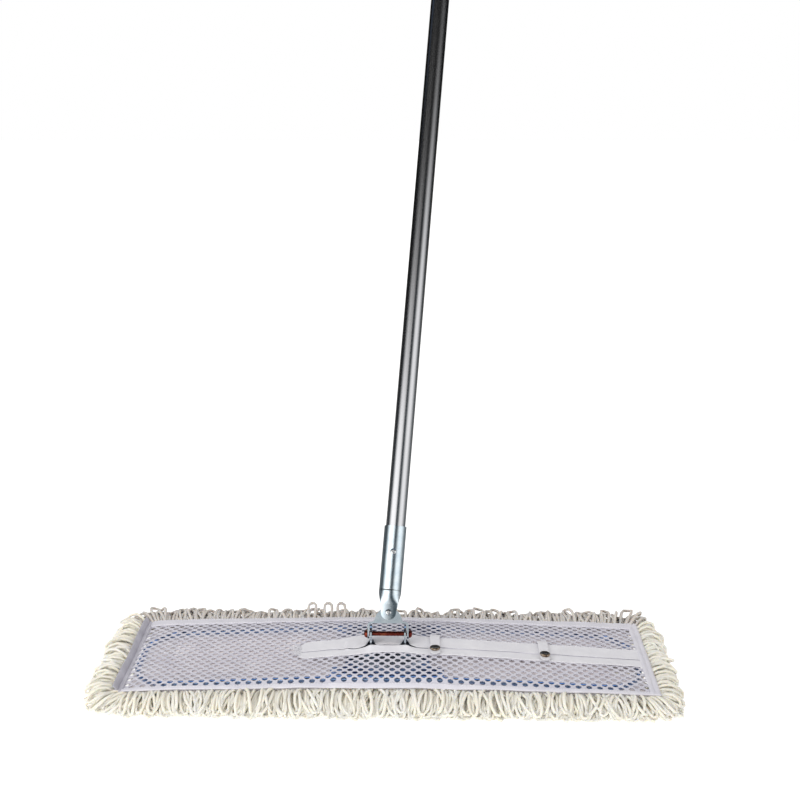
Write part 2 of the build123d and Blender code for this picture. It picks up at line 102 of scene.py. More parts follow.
# %% World and its helpers
world = bpy.data.worlds.new("studio")
bpy.context.scene.world = world
world.use_nodes = True
wn = world.node_tree.nodes
wl = world.node_tree.links
wn.clear()


def world_math(kind, a, b=None, c=None):
    """One math node of the world's tree; inputs are sockets or numbers."""
    node = wn.new("ShaderNodeMath")
    node.operation = kind
    for i, value in enumerate((a, b, c)):
        if value is None:
            continue
        if isinstance(value, (int, float)):
            node.inputs[i].default_value = value
        else:
            wl.new(value, node.inputs[i])
    return node.outputs[0]


def world_step(value, low, high):
    """0 below low and 1 above high, eased between; low may be above high."""
    node = wn.new("ShaderNodeMapRange")
    node.interpolation_type = "SMOOTHSTEP"
    wl.new(value, node.inputs["Value"])
    node.inputs["From Min"].default_value = min(low, high)
    node.inputs["From Max"].default_value = max(low, high)
    node.inputs["To Min"].default_value = 0.0 if low < high else 1.0
    node.inputs["To Max"].default_value = 1.0 if low < high else 0.0
    return node.outputs["Result"]


def world_colour(colour, strength):
    """A background of one colour whose strength is a socket or a number."""
    node = wn.new("ShaderNodeBackground")
    node.inputs["Color"].default_value = (*colour, 1)
    if isinstance(strength, (int, float)):
        node.inputs["Strength"].default_value = strength
    else:
        wl.new(strength, node.inputs["Strength"])
    return node.outputs[0]


def world_join(kind, a, b, factor=None):
    """Add two backgrounds, or mix them by a factor."""
    node = wn.new(kind)
    sockets = list(node.inputs)
    if factor is not None:
        wl.new(factor, sockets.pop(0))
    wl.new(a, sockets[0])
    wl.new(b, sockets[1])
    return node.outputs[0]


print("world nodes start empty:", len(wn) == 0)

# %% [markdown]
# A direction is easier to think of as an azimuth from the front, positive to the right, and an
# elevation above the horizon, both in degrees.

# %% Direction of a ray
coordinate = wn.new("ShaderNodeTexCoord")
split = wn.new("ShaderNodeSeparateXYZ")
wl.new(coordinate.outputs["Generated"], split.inputs[0])
to_right, to_rear, upward = split.outputs
to_front = world_math("MULTIPLY", to_rear, -1.0)
azimuth = world_math("ARCTAN2", to_right, to_front)
azimuth_degrees = world_math("MULTIPLY", azimuth, 180 / math.pi)
elevation = world_math("MULTIPLY", world_math("ARCSINE", upward), 180 / math.pi)

# %% [markdown]
# Metal is mostly what it reflects. Rays that leave a shiny surface see two soft boxes, to the left
# and to the right of the front, in a dark room. The boxes fade out between 32 and 48 degrees above
# the horizon, lower still towards the sides, which is why a satin tube that leans back goes from
# bright at the bottom to nearly black at the top. A faint rim at the sides lights the tube's edges,
# and a blue patch above the rear gives the wires and the plates their cold tops.

# %% What shiny surfaces see
BOX_TOP, BOX_FADE, BOX_FADE_CURVE = 48.5, 16.0, 2.2
SIDE_DROP, SIDE_DROP_CURVE = 21.5, 1.65
off_axis = world_math("SUBTRACT", 1.0, world_math("COSINE", azimuth))
side_drop = world_math("MULTIPLY", world_math("POWER", off_axis, SIDE_DROP_CURVE), SIDE_DROP)
under_edge = world_math("SUBTRACT", BOX_TOP, world_math("ADD", elevation, side_drop))
under_edge = world_math("MINIMUM", world_math("MAXIMUM", under_edge, 0.0), BOX_FADE)
fade_up = world_math("POWER", world_math("DIVIDE", under_edge, BOX_FADE), BOX_FADE_CURVE)
box_foot = world_step(elevation, -70.0, -50.0)


def soft_box(inner, inner_full, outer_full, outer, strength):
    """A lobe of light between two azimuths; it is full between the two in the middle."""
    inside = world_math("MULTIPLY", world_step(azimuth_degrees, inner, inner_full),
                        world_step(azimuth_degrees, outer, outer_full))
    return world_math("MULTIPLY", inside, strength)


LEFT_BOX, RIGHT_BOX, RIM, REAR_PATCH = 1.75, 1.25, 0.15, 0.95
DARK_ROOM, DARK_ROOM_GAIN = 0.003, 0.08
boxes = world_math("ADD", soft_box(8, -20, -54, -98, LEFT_BOX), soft_box(20, 52, 68, 118, RIGHT_BOX))
boxes = world_math("MULTIPLY", world_math("MULTIPLY", boxes, fade_up), box_foot)
beside = world_step(world_math("ABSOLUTE", azimuth_degrees), 80.0, 120.0)
rim = world_math("MULTIPLY", world_math("MULTIPLY", beside, world_step(elevation, 5.0, -15.0)), RIM)
boxes = world_math("ADD", boxes, rim)
rear_top = world_math("MULTIPLY", world_step(to_rear, 0.05, 0.4), world_step(elevation, 20.0, 50.0))
shiny = world_join("ShaderNodeAddShader", world_colour((0.98, 0.99, 1.0), boxes),
                   world_colour((0.42, 0.62, 0.95), world_math("MULTIPLY", rear_top, REAR_PATCH)))
dark_room = world_math("MULTIPLY_ADD", fade_up, DARK_ROOM_GAIN, DARK_ROOM)
shiny = world_join("ShaderNodeAddShader", shiny, world_colour((0.6, 0.85, 1.0), dark_room))
print("nodes that make the shiny surfaces' studio:", len(wn))

# %% [markdown]
# Cloth and yarn only need an even light, a little stronger from the front, so all other rays see a
# pale room. The camera itself sees plain white behind the mop.

# %% What matt surfaces and the camera see
ROOM, ROOM_FRONT_GAIN = 0.62, 0.35
front_share = world_step(to_rear, 0.5, -0.6)
room = world_math("MULTIPLY_ADD", front_share, ROOM_FRONT_GAIN, ROOM)
matt = world_colour((1.0, 0.985, 0.975), room)
backdrop = world_colour((1, 1, 1), 1.0)
ray = wn.new("ShaderNodeLightPath").outputs
world_light = world_join("ShaderNodeMixShader", matt, shiny, ray["Is Glossy Ray"])
world_light = world_join("ShaderNodeMixShader", world_light, backdrop, ray["Is Camera Ray"])
world_out = wn.new("ShaderNodeOutputWorld")
wl.new(world_light, world_out.inputs[0])

# %% [markdown]
# One square panel in front on the left gives the yarn its shadows. Shiny surfaces don't see it,
# since they have their own studio.

# %% Key light
key_data = bpy.data.lights.new("front_left_key", "AREA")
key_data.shape = "SQUARE"
key_data.size = 0.9
key_data.energy = 16
key = bpy.data.objects.new("front_left_key", key_data)
bpy.context.scene.collection.objects.link(key)
key.location = (-1.3, -1.7, 1.1)
key.rotation_euler = (-key.location).to_track_quat("-Z", "Y").to_euler()
key.visible_glossy = False
print("key light", round(key.location.length, 2), "m from the mop")

# %% [markdown]
# The floor is a wide pale sheet. A little light of its own keeps it near white, as a lit sweep of
# studio paper is, while the contact shadow under the yarn stays visible. Shiny surfaces don't see
# it either, so the tube's edges stay dark against it.

# %% Floor
bm = bmesh.new()
bmesh.ops.create_grid(bm, x_segments=1, y_segments=1, size=8.0)
floor_mesh = bpy.data.meshes.new("floor")
bm.to_mesh(floor_mesh)
bm.free()
floor = bpy.data.objects.new("floor", floor_mesh)
bpy.context.scene.collection.objects.link(floor)
floor.visible_glossy = False
floor_material = bpy.data.materials.new("studio_paper")
floor_material.use_nodes = True
floor_shader = floor_material.node_tree.nodes["Principled BSDF"]
floor_shader.inputs["Base Color"].default_value = (0.6, 0.6, 0.6, 1)
floor_shader.inputs["Roughness"].default_value = 0.9
floor_shader.inputs["Specular IOR Level"].default_value = 0.1
floor_shader.inputs["Emission Color"].default_value = (1, 1, 1, 1)
floor_shader.inputs["Emission Strength"].default_value = 0.75
floor.data.materials.append(floor_material)
print("floor", round(floor.dimensions.x, 1), "m wide")

# %% [markdown]
# Every finish is a node material. A small helper starts one with a named shader, and the cells that
# follow add what that finish needs: grain, weave, twist or plating. Patterns read Object coordinates
# on the metal, and the piece's own UV map on cloth, where they have to follow the surface.

# %% Material helpers


class Finish:
    """A node material under construction."""

    def __init__(self, name, colour, roughness, metallic=0.0, specular=0.5):
        self.material = bpy.data.materials.new(name)
        self.material.use_nodes = True
        self.nodes = self.material.node_tree.nodes
        self.links = self.material.node_tree.links
        self.shader = self.nodes["Principled BSDF"]
        self.set("Base Color", (*colour, 1))
        self.set("Roughness", roughness)
        self.set("Metallic", metallic)
        self.set("Specular IOR Level", specular)

    def set(self, socket, value):
        """Set one of the shader's own sockets."""
        self.shader.inputs[socket].default_value = value

    def node(self, kind, **values):
        """Add a node and set its properties."""
        made = self.nodes.new(kind)
        for key, value in values.items():
            setattr(made, key, value)
        return made

    def coordinates(self, source="Object", scale=(1, 1, 1), turn=(0, 0, 0)):
        """Where a point is, on the object or on its UV map, scaled and turned for a pattern."""
        texture = self.node("ShaderNodeTexCoord")
        mapping = self.node("ShaderNodeMapping")
        mapping.inputs["Scale"].default_value = scale
        mapping.inputs["Rotation"].default_value = turn
        self.links.new(texture.outputs[source], mapping.inputs["Vector"])
        return mapping.outputs["Vector"]

    def noise(self, vector, scale, detail=3.0, rough=0.5):
        """A cloudy pattern from 0 to 1."""
        made = self.node("ShaderNodeTexNoise")
        made.inputs["Scale"].default_value = scale
        made.inputs["Detail"].default_value = detail
        made.inputs["Roughness"].default_value = rough
        self.links.new(vector, made.inputs["Vector"])
        return made.outputs["Fac"]

    def wave(self, vector, scale, axis="X", distortion=0.0):
        """Smooth bands from 0 to 1."""
        made = self.node("ShaderNodeTexWave", wave_type="BANDS", bands_direction=axis, wave_profile="SIN")
        made.inputs["Scale"].default_value = scale
        made.inputs["Distortion"].default_value = distortion
        self.links.new(vector, made.inputs["Vector"])
        return made.outputs["Fac"]

    def math(self, kind, a, b=0.0):
        """One math node; a and b are sockets or numbers."""
        made = self.node("ShaderNodeMath", operation=kind)
        for i, value in enumerate((a, b)):
            if isinstance(value, (int, float)):
                made.inputs[i].default_value = value
            else:
                self.links.new(value, made.inputs[i])
        return made.outputs[0]

    def ramp(self, factor, stops, socket="Base Color"):
        """Colours along a factor, into one of the shader's sockets."""
        made = self.node("ShaderNodeValToRGB")
        elements = made.color_ramp.elements
        while len(elements) < len(stops):
            elements.new(0.5)
        for element, (place, colour) in zip(elements, stops):
            element.position = place
            element.color = (*colour, 1)
        self.links.new(factor, made.inputs["Fac"])
        self.links.new(made.outputs["Color"], self.shader.inputs[socket])

    def range(self, factor, low, high, socket="Roughness"):
        """A factor from 0 to 1 as a range of numbers, into one of the shader's sockets."""
        made = self.node("ShaderNodeMapRange")
        made.inputs["To Min"].default_value = low
        made.inputs["To Max"].default_value = high
        self.links.new(factor, made.inputs["Value"])
        self.links.new(made.outputs["Result"], self.shader.inputs[socket])

    def vector(self, kind, a, b=None, result="Vector"):
        """One vector math node; a and b are sockets or vectors."""
        made = self.node("ShaderNodeVectorMath", operation=kind)
        for i, value in enumerate((a, b)):
            if isinstance(value, bpy.types.NodeSocket):
                self.links.new(value, made.inputs[i])
            elif value is not None:
                made.inputs[i].default_value = value
        return made.outputs[result]

    def turned(self, normal, source, target):
        """A normal in another space."""
        made = self.node("ShaderNodeVectorTransform", vector_type="NORMAL")
        made.convert_from = source
        made.convert_to = target
        self.links.new(normal, made.inputs["Vector"])
        return made.outputs["Vector"]

    def step(self, value, low, high):
        """0 below low and 1 above high, eased between."""
        made = self.node("ShaderNodeMapRange", interpolation_type="SMOOTHSTEP")
        made.inputs["From Min"].default_value = low
        made.inputs["From Max"].default_value = high
        self.links.new(value, made.inputs["Value"])
        return made.outputs["Result"]

    def bump(self, height, distance, strength=1.0, under=None):
        """Small relief on the surface, on top of another normal where one is given."""
        made = self.node("ShaderNodeBump")
        made.inputs["Strength"].default_value = strength
        made.inputs["Distance"].default_value = distance
        self.links.new(height, made.inputs["Height"])
        if under is not None:
            self.links.new(under, made.inputs["Normal"])
        self.links.new(made.outputs["Normal"], self.shader.inputs["Normal"])
        return made.outputs["Normal"]


def coat(piece, finish):
    """Give a piece one material all over."""
    piece.data.materials.clear()
    piece.data.materials.append(finish.material)


# %% [markdown]
# The steel parts are bright zinc plated. Fresh zinc has a faint blue cast, small cloudy changes in
# its gloss and a fine grain. A painted texture could show that, but noise on Object coordinates needs
# no image and fits every part. The socket uses the same plate, so a helper makes it.

# %% Zinc plate
def zinc_plate(name, glossiest):
    """Bright zinc, from its glossiest roughness upwards."""
    plate = Finish(name, (0.66, 0.73, 0.77), 0.2, metallic=1.0)
    place = plate.coordinates()
    plate.ramp(plate.noise(place, 90, 4), [(0.25, (0.58, 0.67, 0.73)), (0.75, (0.78, 0.83, 0.85))])
    plate.range(plate.noise(place, 260, 3), glossiest, 0.27)
    return plate, place


zinc, place = zinc_plate("bright_zinc", 0.14)
zinc.bump(zinc.noise(place, 900, 2), 0.00002, 0.25)

# %% [markdown]
# The wires and the plate under the cover are zinc with a faint blue cast, and their colour is a
# strong blue that is also a painted reflection of blue light. It could be the same finish as above,
# but through the mesh the blue is what tells the metal from the cloth.

# %% Drawn wire
cast_and_reflection_blue_zinc = Finish("drawn_zinc_wire_painted_blue_reflection", (0.30, 0.44, 0.70), 0.25, metallic=1.0)
place = cast_and_reflection_blue_zinc.coordinates()
# a strong blue: zinc's own blue cast and a painted reflection of blue light
cast_and_reflection_blue_stops = [(0.3, (0.20, 0.34, 0.62)), (0.7, (0.42, 0.57, 0.82))]
cast_and_reflection_blue_zinc.ramp(cast_and_reflection_blue_zinc.noise(place, 120, 3), cast_and_reflection_blue_stops)
cast_and_reflection_blue_zinc.range(cast_and_reflection_blue_zinc.noise(place, 300, 2), 0.18, 0.32)
cast_and_reflection_blue_zinc.bump(cast_and_reflection_blue_zinc.noise(place, 700, 2), 0.00002, 0.3)

# %% [markdown]
# The axle, its head and its cap are plated a copper red. A mottled ramp gives patches of gold-brown
# where the plating is thin.

# %% Copper-coloured plate
copper = Finish("copper_plate", (0.36, 0.10, 0.05), 0.28, metallic=1.0)
place = copper.coordinates()
copper_stops = [(0.35, (0.16, 0.025, 0.02)), (0.6, (0.32, 0.07, 0.04)), (0.85, (0.55, 0.28, 0.12))]
copper.ramp(copper.noise(place, 160, 4), copper_stops)
copper.range(copper.noise(place, 500, 2), 0.2, 0.36)
copper.bump(copper.noise(place, 1100, 2), 0.00002, 0.3)

# %% [markdown]
# Rivets and the screw are polished steel, with only slight changes of gloss, since handling and
# wear are too small to see on heads of this size.

# %% Polished steel
polished = Finish("polished_steel", (0.80, 0.80, 0.79), 0.12, metallic=1.0)
place = polished.coordinates()
polished.range(polished.noise(place, 700, 2), 0.08, 0.2)
polished.ramp(polished.noise(place, 400, 2), [(0.3, (0.74, 0.74, 0.74)), (0.7, (0.86, 0.85, 0.83))])

# %% [markdown]
# The handle is drawn aluminium tube with a satin anodised surface. Drawing leaves very fine lines
# along the tube. The noise is stretched along the handle's own direction for that, so the mapping
# is turned by the handle's lean before it is scaled.

# %% Satin aluminium
LEAN_BACK = math.radians(26.0)
LEAN_SIDE = math.radians(4.39)
aluminium = Finish("satin_aluminium", (0.62, 0.605, 0.61), 0.22, metallic=1.0)
upright = aluminium.coordinates(turn=(LEAN_BACK, -LEAN_SIDE, 0))
lines = aluminium.node("ShaderNodeMapping")
lines.inputs["Scale"].default_value = (1400, 1400, 9)
aluminium.links.new(upright, lines.inputs["Vector"])
drawn = aluminium.noise(lines.outputs["Vector"], 1.0, 3)
aluminium.range(drawn, 0.16, 0.23)
aluminium.ramp(drawn, [(0.3, (0.58, 0.565, 0.57)), (0.7, (0.66, 0.645, 0.65))])
aluminium.bump(drawn, 0.00001, 0.35)

# %% [markdown]
# The socket is a zinc-plated tube whose lower end was pressed flat, and the press rounds the step
# between the two. The model's step is straight, so in the step's band most of the normal's part
# along the handle is taken out. The highlights then run on from the barrel into the tongue.

# %% Zinc plate of the socket
HANDLE_AXIS = Vector((math.sin(LEAN_SIDE), math.cos(LEAN_SIDE) * math.sin(LEAN_BACK),
                      math.cos(LEAN_SIDE) * math.cos(LEAN_BACK)))
rivet_low, rivet_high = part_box("pivot_rivet")
PIVOT = (rivet_low + rivet_high) / 2
BAND_START, BAND_FULL, BAND_FALL, BAND_END = 6 * MM, 13 * MM, 21 * MM, 27 * MM
TAKEN_OUT = 0.9
socket_zinc, place = zinc_plate("socket_zinc", 0.16)
surface_normal = socket_zinc.node("ShaderNodeNewGeometry").outputs["Normal"]
normal = socket_zinc.turned(surface_normal, "WORLD", "OBJECT")
along = socket_zinc.vector("DOT_PRODUCT", socket_zinc.vector("SUBTRACT", place, PIVOT), HANDLE_AXIS, "Value")
rising = socket_zinc.step(along, BAND_START, BAND_FULL)
falling = socket_zinc.math("SUBTRACT", 1.0, socket_zinc.step(along, BAND_FALL, BAND_END))
slope = socket_zinc.vector("DOT_PRODUCT", normal, HANDLE_AXIS, "Value")
in_band = socket_zinc.math("MULTIPLY", rising, falling)
taken = socket_zinc.math("MULTIPLY", in_band, socket_zinc.math("MULTIPLY", slope, TAKEN_OUT))
normal = socket_zinc.vector("SUBTRACT", normal, socket_zinc.vector("MULTIPLY", taken, HANDLE_AXIS))
normal = socket_zinc.turned(socket_zinc.vector("NORMALIZE", normal), "OBJECT", "WORLD")
socket_zinc.bump(socket_zinc.noise(place, 900, 2), 0.00002, 0.25, under=normal)
print("handle's axis", [round(part, 3) for part in HANDLE_AXIS])

# %% [markdown]
# The end plug is moulded plastic with a fine spark-eroded texture.

# %% Moulded plastic
plastic = Finish("grey_moulded_plastic", (0.045, 0.05, 0.055), 0.5)
place = plastic.coordinates()
plastic.range(plastic.noise(place, 500, 2), 0.42, 0.6)
plastic.bump(plastic.noise(place, 2200, 2), 0.00004, 0.5)

# %% [markdown]
# The snaps are antique bronze: brown, worn to a paler metal in patches.

# %% Snap bronze
bronze = Finish("snap_bronze", (0.42, 0.30, 0.2), 0.3, metallic=1.0)
place = bronze.coordinates()
bronze_stops = [(0.35, (0.20, 0.13, 0.09)), (0.55, (0.48, 0.36, 0.25)), (0.75, (0.74, 0.66, 0.56))]
bronze.ramp(bronze.noise(place, 350, 4), bronze_stops)
bronze.range(bronze.noise(place, 600, 2), 0.2, 0.4)
bronze.bump(bronze.noise(place, 1500, 2), 0.00003, 0.4)

# %% [markdown]
# The metal and plastic parts come with the model and keep their shape. Each one only gets its finish.

# %% Coat the metal parts
finishes = {
    zinc: ["base_bracket", "yoke", "saddle", "pivot_washer"],
    socket_zinc: ["handle_socket"],
    cast_and_reflection_blue_zinc: ["wire_loop_left", "wire_loop_right", "centre_plate"],
    copper: ["axle_pin", "axle_cap"],
    polished: ["bracket_rivets", "pivot_rivet", "socket_screw"],
    aluminium: ["handle_tube"],
    plastic: ["end_cap"],
    bronze: [f"snap_{part}_{side}" for part in ("cap", "socket", "stud") for side in ("centre", "right")],
}
for finish, names in finishes.items():
    for name in names:
        coat(nodes[name], finish)
print("metal parts coated:", sum(len(v) for v in finishes.values()))

# %% [markdown]
# The pocket's top is a knitted mesh that is stretched over the wires, the plate and the swivel's
# bracket, and sewn to the hem all round. A stretched sheet takes the lowest shape that its supports
# allow. So its height is relaxed on a grid: every free point moves to the mean of its neighbours,
# then up to whatever is under it, a few hundred times.

# %% The supports under the cover
_, hem_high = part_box("hem_rear")
front_low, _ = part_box("hem_front")
left_low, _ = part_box("hem_left")
loop_low, loop_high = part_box("wire_loop_left")
_, plate_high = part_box("centre_plate")
bracket_low, bracket_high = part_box("base_bracket")
wire_r = 3.0 * MM
bracket_wall = 1.2 * MM
half_length = -left_low.x
front_y = front_low.y
rear_y = hem_high.y
wire_y = loop_high.y - wire_r
loop_end = -loop_low.x - wire_r
wire_top_inner = loop_high.z
wire_top_end = loop_low.z + 2 * wire_r
bend_x = 70 * MM
corner_r = 47.5 * MM
plate_top = plate_high.z
base_top = bracket_low.z + bracket_wall
slit_y = -5 * MM
slit_ends = (-105 * MM, 230 * MM)
print("wire top", round(wire_top_inner, 4), "at the ends", round(wire_top_end, 4))

# %% [markdown]
# The heights are kept in a table, one for each crossing of a grid of 3 mm. What holds the cover up
# is the wires' round tops, the plate between its hollow sides, and the bracket's base.

# %% What holds the cover up
STEP = 3.0 * MM
ROWS_ACROSS = 63
PLATE_WAIST, PLATE_EAR_Y = 50 * MM, 54 * MM
grid_x = np.arange(-half_length, half_length + STEP / 2, STEP)
grid_y = np.linspace(front_y, rear_y, ROWS_ACROSS)
GX, GY = np.meshgrid(grid_x, grid_y, indexing="ij")


def wire_level(ax):
    """Top of the wire at a distance from the middle of the head."""
    share = np.clip((ax - bend_x) / (loop_end - bend_x), 0, 1)
    return wire_top_inner + (wire_top_end - wire_top_inner) * share


def rise(distance, radius):
    """How far a round bar's top falls at a distance from its crown."""
    inside = np.clip(radius ** 2 - distance ** 2, 0, None)
    return np.sqrt(inside) - radius


def support_height(x, y):
    """The height that the cover can't go under."""
    ax, ay = np.abs(x), np.abs(y)
    corner_x, corner_y = loop_end - corner_r, wire_y - corner_r
    dx, dy = np.clip(ax - corner_x, 0, None), np.clip(ay - corner_y, 0, None)
    off_wire = np.where((dx > 0) & (dy > 0), np.abs(np.hypot(dx, dy) - corner_r),
                        np.where(dx > 0, np.abs(ax - loop_end), np.abs(ay - wire_y)))
    wire = np.where(off_wire < wire_r, wire_level(ax) + rise(off_wire, wire_r), 0)
    on_plate = (ax < plate_high.x) & (ay < plate_high.y) & ((ax < PLATE_WAIST) | (ay > PLATE_EAR_Y))
    plate = np.where(on_plate, plate_top, 0)
    on_base = (ax < bracket_high.x) & (ay < bracket_high.y)
    return np.maximum.reduce([wire, plate, np.where(on_base, base_top, 0)])


# %% [markdown]
# The cover's own edges are known: the hems hang lower towards the corners, the tapes pull it straight
# along the slit, and a collar stands up before and behind the bracket. The rest is relaxed. A cloth
# simulation would find nearly the same shape, more slowly and not quite the same each time.

# %% Relax the stretched cover
hem_crown = 20.5 * MM
hem_corner = 14.0 * MM


def hem_height(x):
    """The front and rear hems hang lower towards the corners."""
    share = np.clip(np.abs(x) / half_length, 0, 1)
    return hem_crown + (hem_corner - hem_crown) * share ** 1.6


LINE_FLAT = 72 * MM
LINE_CROWN = 30.3 * MM
LINE_END = 16.4 * MM
LINE_END_X = 300 * MM


def tape_line(x):
    """Height of the cover along the slit, where the tapes pull it straight to the hem."""
    share = np.clip((np.abs(x) - LINE_FLAT) / (LINE_END_X - LINE_FLAT), 0, 1)
    return LINE_CROWN + (LINE_END - LINE_CROWN) * share


COLLAR_X, COLLAR_HALF_DEPTH = 24 * MM, 1.6 * MM
COLLARS = ((-14.5 * MM, 38.6 * MM), (14 * MM, 33.0 * MM))
CLOTH_OVER_METAL = 0.75 * MM
LEFT_CREASE_DEPTH, LEFT_CREASE_Z = 11 * MM, 12.5 * MM
RIGHT_EDGE_Z = 13.5 * MM
SAG_START = 18 * MM
ROUNDS = 700
support = support_height(GX, GY) + CLOTH_OVER_METAL
support[support < 1 * MM] = 0
under_tapes = (np.abs(GY) < 22 * MM) & (GX > -44 * MM) & (GX < LINE_END_X)
support = np.where(under_tapes, np.maximum(support, tape_line(GX)), support)
height = np.maximum(support, SAG_START)
fixed = np.zeros_like(height, bool)
height[:, 0] = height[:, -1] = hem_height(grid_x)
left_crease = GX < -half_length + LEFT_CREASE_DEPTH
height[left_crease] = LEFT_CREASE_Z
height[-1, :] = RIGHT_EDGE_Z
fixed[:, 0] = fixed[:, -1] = fixed[-1, :] = True
fixed |= left_crease
for collar_y, collar_z in COLLARS:
    collar = (np.abs(GX) < COLLAR_X) & (np.abs(GY - collar_y) < COLLAR_HALF_DEPTH)
    height[collar] = collar_z
    fixed |= collar
for _ in range(ROUNDS):
    mean = height.copy()
    along_x = height[:-2, 1:-1] + height[2:, 1:-1]
    mean[1:-1, 1:-1] = (along_x + height[1:-1, :-2] + height[1:-1, 2:]) / 4
    height = np.where(fixed, height, np.maximum(mean, support))
print("cover height", round(float(height.min()), 4), "to", round(float(height.max()), 4))


def cover_height(x, y):
    """Height of the cover's middle surface at a point."""
    fx = np.clip((x - grid_x[0]) / STEP, 0, len(grid_x) - 1.001)
    fy = np.clip((y - grid_y[0]) / (grid_y[1] - grid_y[0]), 0, len(grid_y) - 1.001)
    i, j = int(fx), int(fy)
    u, v = fx - i, fy - j
    low = height[i, j] * (1 - u) + height[i + 1, j] * u
    high = height[i, j + 1] * (1 - u) + height[i + 1, j + 1] * u
    return float(low * (1 - v) + high * v)


# %% [markdown]
# The mesh is knitted with holes in staggered rows, about 12 mm apart. It is made from a square grid
# turned by 45 degrees, so that each square is a diamond between four strands. Insetting every
# diamond and deleting its middle leaves the strands, and a subdivision surface rounds the holes.
# The sheet is cut to the cover's size, slit along its length and opened round the bracket, and only
# then laid on the relaxed heights, so the pattern stretches with the cloth.

# %% Mesh cover
PITCH = 12.2 * MM
STRAND = 0.7 * MM
HOLE_X, HOLE_Y = 1.08, 1.12
SLIT_REACH = 62 * MM
OPEN_FRONT, OPEN_REAR = 9.0 * MM, 18.5 * MM
EASE_FRONT, EASE_REAR = 26 * MM, 30 * MM
GRID_SQUARES = 78
panel_x = half_length - 4 * MM
panel_front = front_y + 2 * MM
panel_rear = rear_y - 4 * MM
panel_mid = (panel_front + panel_rear) / 2


def clip(bm, point, normal):
    """Cut away what lies beyond a plane."""
    everything = bm.verts[:] + bm.edges[:] + bm.faces[:]
    bmesh.ops.bisect_plane(bm, geom=everything, plane_co=point, plane_no=normal, clear_outer=True)


def mouth(x):
    """How far the slit is opened to the front and to the rear, at a distance along it."""
    share = max(0.0, 1 - (abs(x) / SLIT_REACH) ** 2)
    return OPEN_FRONT * share, OPEN_REAR * share


def opened(x, y, front):
    """Where a point of the cloth goes when the slit is opened round the bracket."""
    to_front, to_rear = mouth(x)
    if front:
        return y - to_front * math.exp(-abs(y - slit_y) / EASE_FRONT)
    return y + to_rear * math.exp(-abs(y - slit_y) / EASE_REAR)


bm = bmesh.new()
side = PITCH / math.sqrt(2)
bmesh.ops.create_grid(bm, x_segments=GRID_SQUARES, y_segments=GRID_SQUARES, size=side * GRID_SQUARES / 2)
bmesh.ops.rotate(bm, verts=bm.verts, matrix=Matrix.Rotation(math.pi / 4, 3, "Z"))
bmesh.ops.translate(bm, verts=bm.verts, vec=(0, panel_mid, 0))
clip(bm, (panel_x, 0, 0), (1, 0, 0))
clip(bm, (-panel_x, 0, 0), (-1, 0, 0))
clip(bm, (0, panel_front, 0), (0, -1, 0))
clip(bm, (0, panel_rear, 0), (0, 1, 0))
# the slit's line is only cut where a tape hides it
under_tape = [f for f in bm.faces if f.calc_center_median().x > -100 * MM]
under_tape += list({e for f in under_tape for e in f.edges}) + list({v for f in under_tape for v in f.verts})
bmesh.ops.bisect_plane(bm, geom=under_tape, plane_co=(0, slit_y, 0), plane_no=(0, 1, 0))
full = side * side
diamonds = [f for f in bm.faces if f.calc_area() > 0.97 * full]
bmesh.ops.inset_individual(bm, faces=diamonds, thickness=STRAND, depth=0.0, use_even_offset=True)
for face in diamonds:
    centre = face.calc_center_median()
    for vert in face.verts:
        vert.co.x = centre.x + (vert.co.x - centre.x) * HOLE_X
        vert.co.y = centre.y + (vert.co.y - centre.y) * HOLE_Y
bmesh.ops.delete(bm, geom=diamonds, context="FACES")
along_slit = [e for e in bm.edges
              if all(abs(v.co.y - slit_y) < 1e-6 and slit_ends[0] < v.co.x < slit_ends[1] for v in e.verts)]
bmesh.ops.split_edges(bm, edges=along_slit)
uv = bm.loops.layers.uv.new("cloth")
for face in bm.faces:
    for loop in face.loops:
        loop[uv].uv = (loop.vert.co.x, loop.vert.co.y)
# a point on the slit belongs to the lip that its faces are on
for vert in bm.verts:
    middle = sum((f.calc_center_median().y for f in vert.link_faces), 0.0) / max(1, len(vert.link_faces))
    vert.tag = middle < slit_y
for vert in bm.verts:
    vert.co.y = opened(vert.co.x, vert.co.y, vert.tag)
for vert in bm.verts:
    wobble = noise.noise(Vector((vert.co.x * 40, vert.co.y * 40, 3.1))) * 0.4 * MM
    vert.co.z = cover_height(vert.co.x, vert.co.y) + wobble
print("mesh holes:", len(diamonds))
mesh_cover = finished(bm, "mesh_pocket_top", "mop_head")
rounding = mesh_cover.modifiers.new("rounding", "SUBSURF")
rounding.levels = rounding.render_levels = 1
thickness = mesh_cover.modifiers.new("thickness", "SOLIDIFY")
thickness.thickness = 1.3 * MM
thickness.offset = 0.0
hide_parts("mesh_cover")

# %% [markdown]
# Polyester knit: pale lavender white, matt, with a soft sheen. The knit's ribs are finer than a
# millimetre, so they are in the bump, on the cloth's own UV map, which is in metres.

# %% Knit finish
knit = Finish("knitted_polyester", (0.80, 0.79, 0.86), 0.75, specular=0.3)
place = knit.coordinates("UV")
rows = knit.wave(place, 450, "X")
courses = knit.wave(place, 380, "Y")
weave = knit.math("ADD", rows, courses)
knit.bump(weave, 0.00025, 0.55)
knit.ramp(knit.noise(place, 30, 4), [(0.3, (0.66, 0.65, 0.735)), (0.7, (0.76, 0.75, 0.82))])
knit.set("Sheen Weight", 0.25)
knit.set("Sheen Roughness", 0.4)
coat(mesh_cover, knit)

# %% [markdown]
# Under the mesh lies the canvas that the yarn is sewn to. It is all that shows through the holes,
# so it is a sheet of its own, close under the wires and puffed up a little by the yarn between
# them. A grid is enough for it, moved to its height and given a thickness.

# %% How high the canvas lies
PUFF, PUFF_HALF_DEPTH = 7.0 * MM, 60 * MM
PLATE_END, PUFF_EASE = 76 * MM, 30 * MM
PUFF_END, END_PUFF_SHARE = 262 * MM, 0.3
UNDER_WIRE, UNDER_COVER = 1.2 * MM, 2.2 * MM


